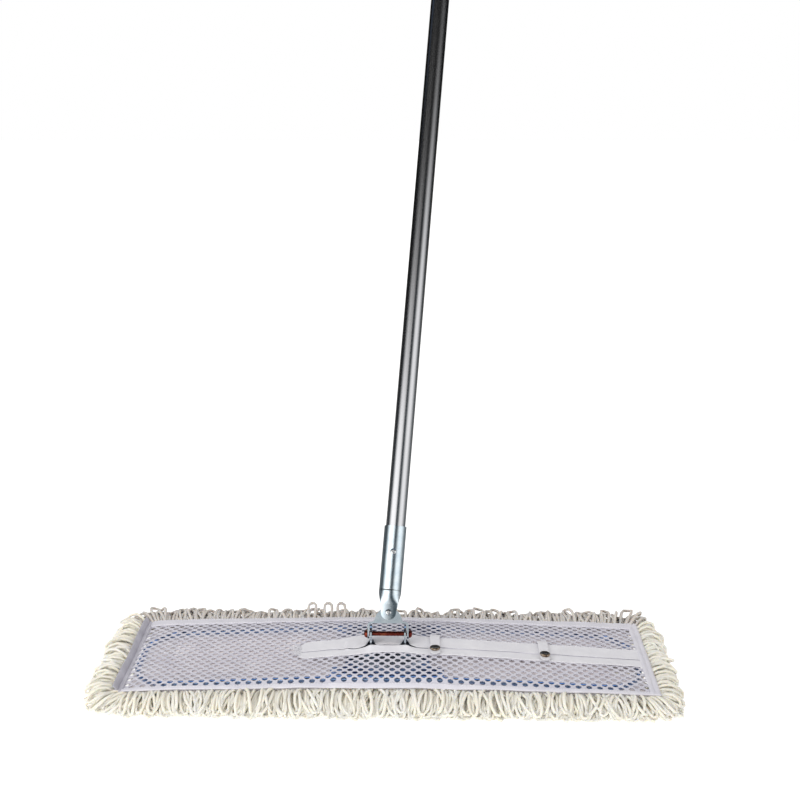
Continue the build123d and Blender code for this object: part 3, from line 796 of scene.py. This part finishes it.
def backing_height(x, y):
    """The canvas lies under the wires, and the yarn lifts it between them."""
    under_wire = float(wire_level(abs(x))) - 2 * wire_r - UNDER_WIRE
    between = max(0.0, 1 - (y / PUFF_HALF_DEPTH) ** 2)
    beyond_plate = min(1.0, max(0.0, (abs(x) - PLATE_END) / PUFF_EASE))
    edge = min(under_wire, cover_height(x, y) - 2.4 * MM)
    puff = PUFF * between ** 0.6 * beyond_plate * (1 if abs(x) < PUFF_END else END_PUFF_SHARE)
    return min(edge + puff, cover_height(x, y) - UNDER_COVER)


# %% [markdown]
# The canvas, the tapes and the tabs are all strips: a sheet between two edge lines, with a height
# for each of its points. They could be drawn one by one, but a helper that takes the two lines and
# the height keeps each strip to a few lines, and gives it a UV map in metres for its weave.

# %% A helper for strips of cloth

def strip(name, near, far, along, across, level, body="mop_head"):
    """A sheet between two edge lines; near(t) and far(t) give x, y, and level(x, y, t, s) gives z."""
    bm = bmesh.new()
    bmesh.ops.create_grid(bm, x_segments=along, y_segments=across, size=0.5)
    uv = bm.loops.layers.uv.new("cloth")
    width = (Vector(near(0.5)) - Vector(far(0.5))).length
    length = (Vector(near(0.0)) - Vector(near(1.0))).length
    for face in bm.faces:
        for loop in face.loops:
            loop[uv].uv = ((loop.vert.co.x + 0.5) * length, (loop.vert.co.y + 0.5) * width)
    for vert in bm.verts:
        t, s = vert.co.x + 0.5, vert.co.y + 0.5
        place = Vector(near(t)).lerp(Vector(far(t)), s)
        vert.co = (place.x, place.y, level(place.x, place.y, t, s))
    bmesh.ops.recalc_face_normals(bm, faces=bm.faces)
    if sum(face.normal.z for face in bm.faces) < 0:
        bmesh.ops.reverse_faces(bm, faces=bm.faces)
    return finished(bm, name, body)


def thicken(piece, wall):
    """Give a sheet its thickness about its middle, and round its edges."""
    solidify = piece.modifiers.new("thickness", "SOLIDIFY")
    solidify.thickness = wall
    solidify.offset = 0.0
    rounding = piece.modifiers.new("rounding", "SUBSURF")
    rounding.levels = rounding.render_levels = 1


# %% Backing canvas
backing_x = half_length - 12 * MM
backing_front, backing_rear = front_y + 5 * MM, rear_y - 6 * MM


def backing_level(x, y, t, s):
    """The canvas is a little uneven over the yarn's seams."""
    return backing_height(x, y) + noise.noise(Vector((x * 25, y * 25, 9))) * 0.8 * MM


backing = strip("backing_canvas", lambda t: (backing_x * (2 * t - 1), backing_front),
                lambda t: (backing_x * (2 * t - 1), backing_rear), 120, 40, backing_level)
thicken(backing, 1.0 * MM)
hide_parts("mop_backing")
canvas = Finish("canvas_weave_and_painted_glow", (0.88, 0.85, 0.83), 0.85, specular=0.2)
place = canvas.coordinates("UV")
weave = canvas.math("MULTIPLY", canvas.wave(place, 260, "X"), canvas.wave(place, 260, "Y"))
canvas.bump(weave, 0.0003, 0.6)
canvas.ramp(canvas.noise(place, 60, 4), [(0.3, (0.84, 0.785, 0.785)), (0.7, (0.90, 0.85, 0.85))])
# the canvas glows faintly pink: painted light, for light that comes through the cloth
canvas.set("Emission Color", (1.0, 0.93, 0.94, 1))
canvas.set("Emission Strength", 0.06)
coat(backing, canvas)
print("canvas", round(2 * backing_x, 3), "by", round(backing_rear - backing_front, 3), "m")

# %% [markdown]
# A folded tape is sewn round the cover's edge. Each side has its own length of it, overlapping at
# the corners. The left end has turned up against the yarn, so its face looks away from the light,
# and the right end is stitched down in two ridges. The tapes are grids bent to their place,
# with small puckers between the stitches.

# %% Tape finish
tape = Finish("edge_tape", (0.78, 0.77, 0.83), 0.7, specular=0.35)
place = tape.coordinates("UV")
tape.bump(tape.wave(place, 420, "X", distortion=0.6), 0.0002, 0.5)
tape.ramp(tape.noise(place, 45, 4), [(0.3, (0.70, 0.69, 0.76)), (0.7, (0.80, 0.79, 0.85))])
tape.set("Sheen Weight", 0.3)
tape.set("Sheen Roughness", 0.4)

# %% Shapes that every tape shares
def pucker(x, y, size):
    """Small gathers that stitching leaves in a tape."""
    fine = noise.noise(Vector((x * 110, y * 110, 1.7)))
    broad = noise.noise(Vector((x * 31, y * 31, 5.2)))
    return fine * size + broad * size * 1.5


def arch(s, rise):
    """A soft crown across a folded tape."""
    return rise * (1 - (2 * s - 1) ** 4)


HEM_LIFT = 1.1 * MM
HEM_WALL = 1.7 * MM
end_x = half_length
front_width, rear_width, end_width = 6.5 * MM, 16 * MM, 10.5 * MM


def wavy(x, size):
    """The edge of a tape wanders a little."""
    return noise.noise(Vector((x * 17, 0.3, 8.8))) * size


def level_on_cover(crown, gathers):
    """The height function of a tape that lies on the cover with a soft crown."""
    def level(x, y, t, s):
        return cover_height(x, y) + HEM_LIFT + arch(s, crown) + pucker(x, y, gathers)
    return level


def across_front(t, inward=0.0):
    """The front tape's outer edge, or a line at a distance inside it."""
    return end_x * (2 * t - 1), front_y + inward + wavy(t * 0.6, 1.6 * MM)


# %% Front and rear edge tapes
hem_front = strip("edge_tape_front", across_front, lambda t: across_front(t, front_width), 220, 5,
                  level_on_cover(0.5 * MM, 0.35 * MM))
hem_rear = strip("edge_tape_rear", lambda t: (end_x * (2 * t - 1), rear_y - rear_width),
                 lambda t: (end_x * (2 * t - 1), rear_y + wavy(t * 0.6, 1.2 * MM)), 220, 8,
                 level_on_cover(0.4 * MM, 0.4 * MM))

# %% [markdown]
# The left tape has turned up and creased along its middle, and its colour is a darker grey as
# painted shade for the fold. It is a strip like the others, with a height function and a duller,
# painted-shade finish of its own.

# %% Left and right edge tapes
# darker grey-lavender than the other tapes: painted shade for the turned-up, creased tape
left_tape_painted_shade = Finish("edge_tape_painted_shade", (0.6, 0.59, 0.66), 0.75, specular=0.3)
place = left_tape_painted_shade.coordinates("UV")
left_tape_painted_shade.bump(left_tape_painted_shade.wave(place, 420, "X", distortion=0.6), 0.0002, 0.5)
left_tape_painted_shade.ramp(left_tape_painted_shade.noise(place, 45, 4), [(0.3, (0.42, 0.41, 0.47)), (0.7, (0.58, 0.57, 0.64))])
left_tape_painted_shade.set("Sheen Weight", 0.2)


def left_level(x, y, t, s):
    """The left tape turns up from its crease to its outer edge, with a fold along its middle."""
    fold = 2.4 * MM * math.exp(-((s - 0.5) / 0.13) ** 2)
    return LEFT_CREASE_Z + HEM_LIFT + 7.5 * MM * (1 - s) ** 1.2 - fold + pucker(x, y, 0.5 * MM)


def right_level(x, y, t, s):
    """The right tape has two ridges between its rows of stitches."""
    ridges = 1.3 * MM * abs(math.sin(2 * math.pi * s))
    return cover_height(x, y) + HEM_LIFT * 0.8 + ridges + pucker(x, y, 0.3 * MM)


def along_end(x, t):
    """A point of a line from the front to the rear."""
    return x, front_y + (rear_y - front_y) * t


hem_left = strip("edge_tape_left", lambda t: along_end(-end_x + wavy(t * 0.2, 1.5 * MM), t),
                 lambda t: along_end(-end_x + end_width, t), 70, 20, left_level)
hem_right = strip("edge_tape_right", lambda t: along_end(end_x - end_width - 1.5 * MM, t),
                  lambda t: along_end(end_x, t), 70, 16, right_level)
edge_tapes = {"front": hem_front, "rear": hem_rear, "left": hem_left, "right": hem_right}
for side, piece in edge_tapes.items():
    thicken(piece, HEM_WALL)
    coat(piece, left_tape_painted_shade if side == "left" else tape)
    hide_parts(f"hem_{side}")
print("edge tapes:", ", ".join(piece.name for piece in edge_tapes.values()))

# %% [markdown]
# The slit that lets the frame in has a tape along each lip. The front lip stands up in front of the
# bracket, and both lips lie nearly closed to the right of it. The tapes follow the same opening
# and the same relaxed heights as the mesh, one thickness above it.

# %% Slit tapes
TAPE_LEFT, TAPE_RIGHT = -110 * MM, 303 * MM
FRONT_TAPE, REAR_TAPE = 17 * MM, 27 * MM
TAPE_LIFT, TAPE_WALL = 1.3 * MM, 1.0 * MM
LIP_GAP = 0.45 * MM
EAR_X, EAR_ROOM, EAR_EASE = 20.5 * MM, 2.2 * MM, 3.5 * MM
LOOSE_FORWARD, LOOSE_SHARE_BESIDE = 25 * MM, 0.72
LOOSE_END, LOOSE_EASE = 70 * MM, 16 * MM
MOUTH_X, MOUTH_Y, MOUTH_Z = 50 * MM, 12 * MM, 31.0 * MM


def lip(x, front):
    """The slit's edge, on one side, at a distance along it."""
    if front:
        return opened(x, slit_y, True) - LIP_GAP
    # between and beside the bracket's ears the rear lip is loose and comes forward
    away_from_ears = min(1.0, max(0.0, (abs(abs(x) - EAR_X) - EAR_ROOM) / EAR_EASE))
    looseness = 1.0 if abs(x) < EAR_X else LOOSE_SHARE_BESIDE
    near_bracket = min(1.0, max(0.0, (LOOSE_END - abs(x)) / LOOSE_EASE))
    forward = LOOSE_FORWARD * looseness * away_from_ears * near_bracket
    y = opened(x, slit_y, False) + LIP_GAP
    return max(y - forward, opened(x, slit_y, True) + 3 * LIP_GAP)


def along_tape(t):
    """Distance along the slit, t from 0 to 1 over a tape's length."""
    return TAPE_LEFT + (TAPE_RIGHT - TAPE_LEFT) * t


def end_taper(t):
    """The left end of a tape is cut round and frayed."""
    from_end = (along_tape(t) - TAPE_LEFT) / (16 * MM)
    return 1.0 if from_end >= 1 else math.sqrt(max(0.03, 1 - (1 - from_end) ** 2))


def tape_level(x, y, t, s):
    """A tape lies on the cover, and over the slit's mouth it spans from lip to lip."""
    ground = cover_height(x, y)
    if abs(x) < MOUTH_X and abs(y) < MOUTH_Y:
        ground = max(ground, MOUTH_Z)
    return ground + TAPE_LIFT + pucker(x, y, 0.35 * MM)


def front_outer(t):
    """The front tape's sewn edge."""
    x = along_tape(t)
    return x, lip(x, True) - end_taper(t) * (lip(x, True) - opened(x, slit_y - FRONT_TAPE, True))


def rear_outer(t):
    """The rear tape's sewn edge."""
    x = along_tape(t)
    return x, lip(x, False) + end_taper(t) * (opened(x, slit_y + REAR_TAPE, False) - lip(x, False))


front_tape = strip("slit_tape_front_lip", front_outer, lambda t: (along_tape(t), lip(along_tape(t), True)),
                   240, 8, tape_level)
rear_tape = strip("slit_tape_rear_lip", lambda t: (along_tape(t), lip(along_tape(t), False)), rear_outer,
                  240, 12, tape_level)

# %% [markdown]
# The slit tapes and the tabs are white cotton twill with fine ribs along their length. The pattern
# is on the strips' own UV maps, so the ribs follow each tape round its bends.

# %% White tape finish
white_tape = Finish("white_tape", (0.84, 0.84, 0.88), 0.7, specular=0.3)
place = white_tape.coordinates("UV")
white_tape.bump(white_tape.wave(place, 500, "Y"), 0.0002, 0.45)
white_tape.ramp(white_tape.noise(place, 40, 4), [(0.3, (0.77, 0.765, 0.81)), (0.7, (0.86, 0.855, 0.89))])
white_tape.set("Sheen Weight", 0.25)
for piece, node, width in ((front_tape, "slit_tape_front", FRONT_TAPE),
                           (rear_tape, "slit_tape_rear", REAR_TAPE)):
    thicken(piece, TAPE_WALL)
    coat(piece, white_tape)
    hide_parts(node)

# %% [markdown]
# Two white tabs close the slit with snaps. Each is sewn to the rear tape, crosses the slit and ends
# rounded below its snap. The metal of the snaps comes with the model.

# %% Snap tabs
TAB_ROOT, TAB_HINGE, TAB_TIP = 29 * MM, 20 * MM, -26 * MM
TAB_HALF_WIDTH, TAB_BLUNT = 6 * MM, 0.12


def tip_share(from_tip):
    """How wide a tab is near its rounded tip, as a share of its full width."""
    if from_tip >= TAB_HALF_WIDTH:
        return 1.0
    inside = 1 - ((TAB_HALF_WIDTH - from_tip) / TAB_HALF_WIDTH) ** 2
    return max(math.sqrt(max(0.0, inside)), TAB_BLUNT)


for side in ("centre", "right"):
    low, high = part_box(f"snap_tab_{side}")
    middle_x = (low.x + high.x) / 2
    slope = (tape_line(high.x) - tape_line(low.x)) / (high.x - low.x)
    plane = (low.z + high.z) / 2

    def tab_edge(t, sign):
        """A point of the tab's left or right edge."""
        y = TAB_ROOT + (TAB_TIP - TAB_ROOT) * t
        return middle_x + sign * TAB_HALF_WIDTH * tip_share(y - TAB_TIP), y

    def tab_level(x, y, t, s):
        """The tab is flat in its snap's plane, and comes down to the tape where it is sewn."""
        sewn = min(1.0, max(0.0, (y - TAB_HINGE) / (TAB_ROOT - TAB_HINGE)))
        flat = plane + slope * (x - middle_x)
        down = cover_height(x, y) + TAPE_LIFT + 1.0 * MM
        return flat + (min(flat, down) - flat) * sewn + noise.noise(Vector((x * 90, y * 90, 4))) * 0.15 * MM

    tab = strip(f"closing_tab_{side}", lambda t: tab_edge(t, -1), lambda t: tab_edge(t, 1), 44, 6,
                tab_level, body=None)
    thicken(tab, TAPE_WALL)
    coat(tab, white_tape)
    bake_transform(tab)
    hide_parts(f"snap_tab_{side}")
    print(tab.name, "at x", round(middle_x, 4))

# %% [markdown]
# The tapes are sewn down with white thread. A stitch is a slim bead of only twenty faces, because
# there are about a thousand of them. Each one is dropped on the finished tape by a ray from above
# and turned along its row.

# %% Stitches
STITCH_PITCH, STITCH_LENGTH, THREAD_R = 3.3 * MM, 2.3 * MM, 0.32 * MM


def row_of_stitches(bm, piece, start, end):
    """Beads along a straight row on top of a piece, from start to end in x and y."""
    surface = BVHTree.FromObject(piece, bpy.context.evaluated_depsgraph_get())
    start, end = Vector(start), Vector(end)
    run = end - start
    turn = math.atan2(run.y, run.x)
    made = 0
    for i in range(int(run.length / STITCH_PITCH)):
        place = start + run * ((i + 0.5) * STITCH_PITCH / run.length)
        hit, normal, _, _ = surface.ray_cast(Vector((place.x, place.y, 0.1)), Vector((0, 0, -1)))
        if hit is None:
            continue
        spot = Matrix.Translation(hit + normal * THREAD_R * 0.3) @ Matrix.Rotation(turn, 4, "Z")
        size = Matrix.Diagonal((STITCH_LENGTH / 2, THREAD_R, THREAD_R, 1))
        bmesh.ops.create_icosphere(bm, subdivisions=1, radius=1.0, matrix=spot @ size)
        made += 1
    return made


# %% [markdown]
# Rows along the edge tapes run from corner to corner, and those of the slit tapes leave out the
# mouth, where the lips are loose.

# %% Rows of stitches
inset = 1.6 * MM
slit_rows = (TAPE_LEFT + 16 * MM, -64 * MM), (64 * MM, TAPE_RIGHT - 8 * MM)
front_line = front_y + front_width - inset
rear_line, rear_inner_line = rear_y - inset * 1.4, rear_y - rear_width + inset
left_line = -end_x + end_width - inset
right_line, right_inner_line = end_x - 6 * MM, end_x - end_width
seams = [
    (hem_front, (-end_x + 8 * MM, front_line), (end_x - 8 * MM, front_line)),
    (hem_rear, (-end_x + 8 * MM, rear_line), (end_x - 8 * MM, rear_line)),
    (hem_rear, (-end_x + 12 * MM, rear_inner_line), (end_x - 12 * MM, rear_inner_line)),
    (hem_left, (left_line, front_y + 8 * MM), (left_line, rear_y - 18 * MM)),
    (hem_right, (right_line, front_y + 6 * MM), (right_line, rear_y - 4 * MM)),
    (hem_right, (right_inner_line, front_y + 6 * MM), (right_inner_line, rear_y - 17 * MM)),
]
for piece, sewn_y in ((front_tape, slit_y - FRONT_TAPE + inset), (rear_tape, slit_y + REAR_TAPE - inset)):
    seams += [(piece, (start, sewn_y), (end, sewn_y)) for start, end in slit_rows]
bm = bmesh.new()
made = sum(row_of_stitches(bm, piece, start, end) for piece, start, end in seams)
stitches = finished(bm, "tape_stitches", "mop_head")
thread = Finish("sewing_thread", (0.86, 0.855, 0.88), 0.6, specular=0.4)
thread.bump(thread.wave(thread.coordinates("Object"), 2200, "DIAGONAL"), 0.0001, 0.4)
coat(stitches, thread)
print("stitches:", made)

# %% [markdown]
# The yarn is loops of spun cotton, about 3.7 mm thick, sewn by their ends in rows. Each loop is one
# open curve with a round bevel: it leaves its seam, swells to a rounded end and comes back. Its
# path droops from the hem towards the floor, and a random roll and lean make neighbours cross.
# The curves of one side are made one mesh, which also gives the yarn the UV map that its twist needs.

# %% Yarn loops
YARN_R = 1.85 * MM
LOOP_POINTS = 12
random.seed(41)


def yarn_loop(anchor, azimuth, reach, width, rise_to, tip_z, roll):
    """Points of one loop that leaves an anchor towards an azimuth."""
    outward = Vector((math.sin(azimuth), -math.cos(azimuth), 0))
    across = Vector((math.cos(azimuth), math.sin(azimuth), 0))
    bend_to = random.uniform(-0.2, 0.2) * reach
    points = []
    for i in range(LOOP_POINTS):
        turn = 2 * math.pi * i / (LOOP_POINTS - 1)
        s = (1 - math.cos(turn)) / 2
        swell = width / 2 * math.sin(turn) * (0.35 + 0.65 * s) + YARN_R * 1.1 * math.cos(turn / 2)
        out = 2 * s * (1 - s) * 0.5 * reach + s * s * reach
        z = (1 - s) ** 2 * anchor.z + 2 * s * (1 - s) * rise_to + s * s * tip_z
        sideways = math.cos(roll) * swell + bend_to * s * s
        place = Vector((anchor.x, anchor.y, z + math.sin(roll) * swell)) + outward * out + across * sideways
        place.z = max(place.z, YARN_R * 1.02)
        points.append(place)
    return points


def spin_curves(name, lines, radius):
    """Turn lists of points into one mesh of round strands that rides on the head."""
    data = bpy.data.curves.new(name, "CURVE")
    data.dimensions = "3D"
    data.bevel_depth = radius
    data.bevel_resolution = 1
    data.use_fill_caps = True
    for points in lines:
        spline = data.splines.new("POLY")
        spline.points.add(len(points) - 1)
        for point, place in zip(spline.points, points):
            point.co = (*place, 1)
            point.radius = random.uniform(0.88, 1.08)
    line = bpy.data.objects.new(name + "_line", data)
    bpy.context.scene.collection.objects.link(line)
    mesh = bpy.data.meshes.new_from_object(line, depsgraph=bpy.context.evaluated_depsgraph_get())
    bpy.data.objects.remove(line)
    mesh.name = name
    mesh.polygons.foreach_set("use_smooth", [True] * len(mesh.polygons))
    piece = bpy.data.objects.new(name, mesh)
    bpy.context.scene.collection.objects.link(piece)
    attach(piece, "mop_head")
    print(name, len(lines), "strands,", len(mesh.polygons), "faces")
    return piece


def spin_yarn(name, loops, node):
    """One side's loops of yarn, in place of a node of the model."""
    piece = spin_curves(name, loops, YARN_R)
    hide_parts(node)
    return piece


def spread(value, share):
    """A value varied at random by up to a share of itself."""
    return value * random.uniform(1 - share, 1 + share)


# %% [markdown]
# On each side the loops are sewn in five layers, one below another. A layer is the height of its
# seam, the height that its loops rise to, and the height of their ends, in millimetres. Upper layers
# stand out over the lower ones, and a loop's roll says how much it lies over on its side.

# %% Layers of the fringe
SIDES = {
    "front": dict(roll=0.4, reach=35 * MM,
                  layers=[(17, 20, 6), (14.5, 16, 4), (11.5, 12, 2.5), (8, 8, 2), (4.5, 4, 2)]),
    "rear": dict(roll=0.35, reach=33 * MM,
                 layers=[(17, 26, 14), (14.5, 23, 11), (11.5, 17, 7), (8, 12, 4), (4.5, 5, 2)]),
    "left": dict(roll=0.9, reach=34 * MM,
                 layers=[(16, 25, 12), (13.5, 19, 9), (10.5, 14, 5), (7, 9, 3), (3.5, 4, 2)]),
    "right": dict(roll=0.9, reach=29 * MM,
                  layers=[(13, 20, 9), (11, 16, 6), (8.5, 11, 3.5), (6, 7, 2), (3.5, 4, 2)]),
}
STEP_ALONG = 6.2 * MM
SEAM_INSET = 3 * MM
FAN_ANGLE, FAN_LONG_SIDE, FAN_END = 0.7, 32 * MM, 30 * MM


def edge_place(side, t):
    """A point just inside the hem's edge, and the way out of it, t from 0 to 1 along a side."""
    left, right = -end_x + SEAM_INSET, end_x - SEAM_INSET
    front, rear = front_y + SEAM_INSET, rear_y - SEAM_INSET
    if side in ("front", "rear"):
        x = left + (right - left) * t
        y = front if side == "front" else rear
        base = 0.0 if side == "front" else math.pi
        near = min(x - left, right - x)
        fan = FAN_ANGLE * max(0.0, 1 - near / FAN_LONG_SIDE) * (1 if x > 0 else -1)
        return Vector((x, y, 0)), base + (fan if side == "front" else -fan)
    y = front + (rear - front) * t
    x = left if side == "left" else right
    base = -math.pi / 2 if side == "left" else math.pi / 2
    near_front, near_rear = max(0.0, 1 - (y - front) / FAN_END), max(0.0, 1 - (rear - y) / FAN_END)
    fan = FAN_ANGLE * near_front - FAN_ANGLE * near_rear
    return Vector((x, y, 0)), base + (fan if side == "left" else -fan)


# %% [markdown]
# The loops are sewn a little over 6 mm apart, never quite evenly. Near a corner they fan out round
# it. Three loose loops stand up at the rear, where the yarn has pulled out of its row.

# %% The fringe on four sides
FULL_HEM_Z = 18.5 * MM
PULLED_LOOPS_X = (-100, -79, -62)
fringes = {}
for side, facts in SIDES.items():
    length = 2 * end_x if side in ("front", "rear") else rear_y - front_y
    loops = []
    for start_z, rise_z, tip_z in facts["layers"]:
        count = int(length / STEP_ALONG)
        for i in range(count):
            t = min(1.0, max(0.0, (i + 0.5 + random.uniform(-0.4, 0.4)) / count))
            anchor, azimuth = edge_place(side, t)
            low_end = (cover_height(anchor.x, anchor.y) - 2 * MM) / FULL_HEM_Z
            anchor.z = start_z * MM * min(1.0, low_end)
            azimuth += random.gauss(0, 0.2)
            roll = random.gauss(0, facts["roll"])
            reach, width = spread(facts["reach"], 0.13), random.uniform(9, 15) * MM
            rise_to, end_z = spread(rise_z, 0.2) * MM, spread(tip_z, 0.4) * MM
            loops.append(yarn_loop(anchor, azimuth, reach, width, rise_to, end_z, roll))
    if side == "rear":
        for x in PULLED_LOOPS_X:
            anchor = Vector((x * MM, rear_y - SEAM_INSET, 17 * MM))
            loops.append(yarn_loop(anchor, math.pi, 13 * MM, 10 * MM, 34 * MM, 37 * MM, 0.0))
    fringes[side] = spin_yarn(f"yarn_fringe_{side}", loops, f"fringe_{side}")

# %% [markdown]
# Under the head the same yarn stands in rows across the whole canvas. The weight of the mop presses
# the loops over, so they lie this way and that and fill the space down to the floor.

# %% Yarn rows under the head
PILE_ROWS, LOOPS_IN_ROW = 11, 62
PILE_INSET, ROW_PITCH = 12 * MM, 15.5 * MM
rows = []
for row in range(PILE_ROWS):
    y = front_y + PILE_INSET + row * ROW_PITCH
    for i in range(LOOPS_IN_ROW):
        along_row = (i + random.uniform(0.2, 0.8)) / LOOPS_IN_ROW
        x = -end_x + PILE_INSET + along_row * 2 * (end_x - PILE_INSET)
        top = backing_height(x, y) - 2.5 * MM
        anchor = Vector((x, y, max(top, 3 * MM)))
        azimuth = random.uniform(-math.pi, math.pi)
        reach, width = random.uniform(17, 26) * MM, random.uniform(6, 10) * MM
        rise_to = spread(top * 0.6 / MM, 0.3) * MM
        rows.append(yarn_loop(anchor, azimuth, reach, width, rise_to, 1.7 * MM, random.gauss(0, 0.5)))
yarn_rows = spin_yarn("yarn_rows", rows, "yarn_pile")

# %% [markdown]
# The left ends of the slit's tapes were cut and never hemmed, so they have frayed into a tuft of
# fine threads. They are made as the yarn is, only thin and nearly straight.

# %% Frayed ends of the slit tapes
frays = []
for _ in range(46):
    y = slit_y + random.uniform(-11, 15) * MM
    x = TAPE_LEFT + random.uniform(2, 7) * MM
    low = cover_height(x, y)
    run, drift, lift = random.uniform(5, 12) * MM, random.gauss(0, 2.0) * MM, random.uniform(0.8, 3.4) * MM
    thread = []
    for k in (0, 0.25, 0.5, 0.75, 1.0):
        z = low + 1.6 * MM + lift * math.sin(math.pi * k * 0.8)
        thread.append(Vector((x - run * k, y + drift * k * k, z)))
    frays.append(thread)
frayed = spin_curves("frayed_tape_threads", frays, 0.26 * MM)
coat(frayed, white_tape)

# %% [markdown]
# Cotton yarn is matt and warm white, darker where strands shade each other. Its twist is a spiral
# of bands on the yarn's own UV map: one direction of the map runs along the loop and the other runs
# round it, so a slanting wave is a twist. A little sheen stands for the fuzz of loose fibres.

# %% Cotton yarn finish
def cotton_finish(name, deep, pale, sheen):
    """Spun cotton between two colours."""
    cotton = Finish(name, (0.85, 0.83, 0.76), 0.85, specular=0.15)
    strands = cotton.wave(cotton.coordinates("UV", scale=(30, 2, 1)), 1.0, "DIAGONAL")
    fibre = cotton.noise(cotton.coordinates("Object"), 900, 3)
    twist = cotton.bump(strands, 0.0005, 0.6)
    cotton.bump(fibre, 0.0002, 0.5, under=twist)
    cotton.ramp(cotton.noise(cotton.coordinates("Object"), 35, 3), [(0.3, deep), (0.7, pale)])
    cotton.set("Sheen Weight", sheen)
    cotton.set("Sheen Roughness", 0.5)
    cotton.set("Subsurface Weight", 0.3)
    cotton.set("Subsurface Radius", (0.004, 0.003, 0.002))
    cotton.set("Subsurface Scale", 1.0)
    return cotton


# the rear yarn's colour is darker and greyer: painted shade, since it is turned from the light
bright_cotton = cotton_finish("spun_cotton", (0.91, 0.86, 0.73), (0.975, 0.945, 0.855), 0.35)
# painted shade: a darker, greyer copy of the cotton for the rear fringe
painted_shade_cotton = cotton_finish("painted_shade_cotton", (0.60, 0.56, 0.52), (0.72, 0.68, 0.64), 0.21)
for side, piece in fringes.items():
    coat(piece, painted_shade_cotton if side == "rear" else bright_cotton)
coat(yarn_rows, bright_cotton)
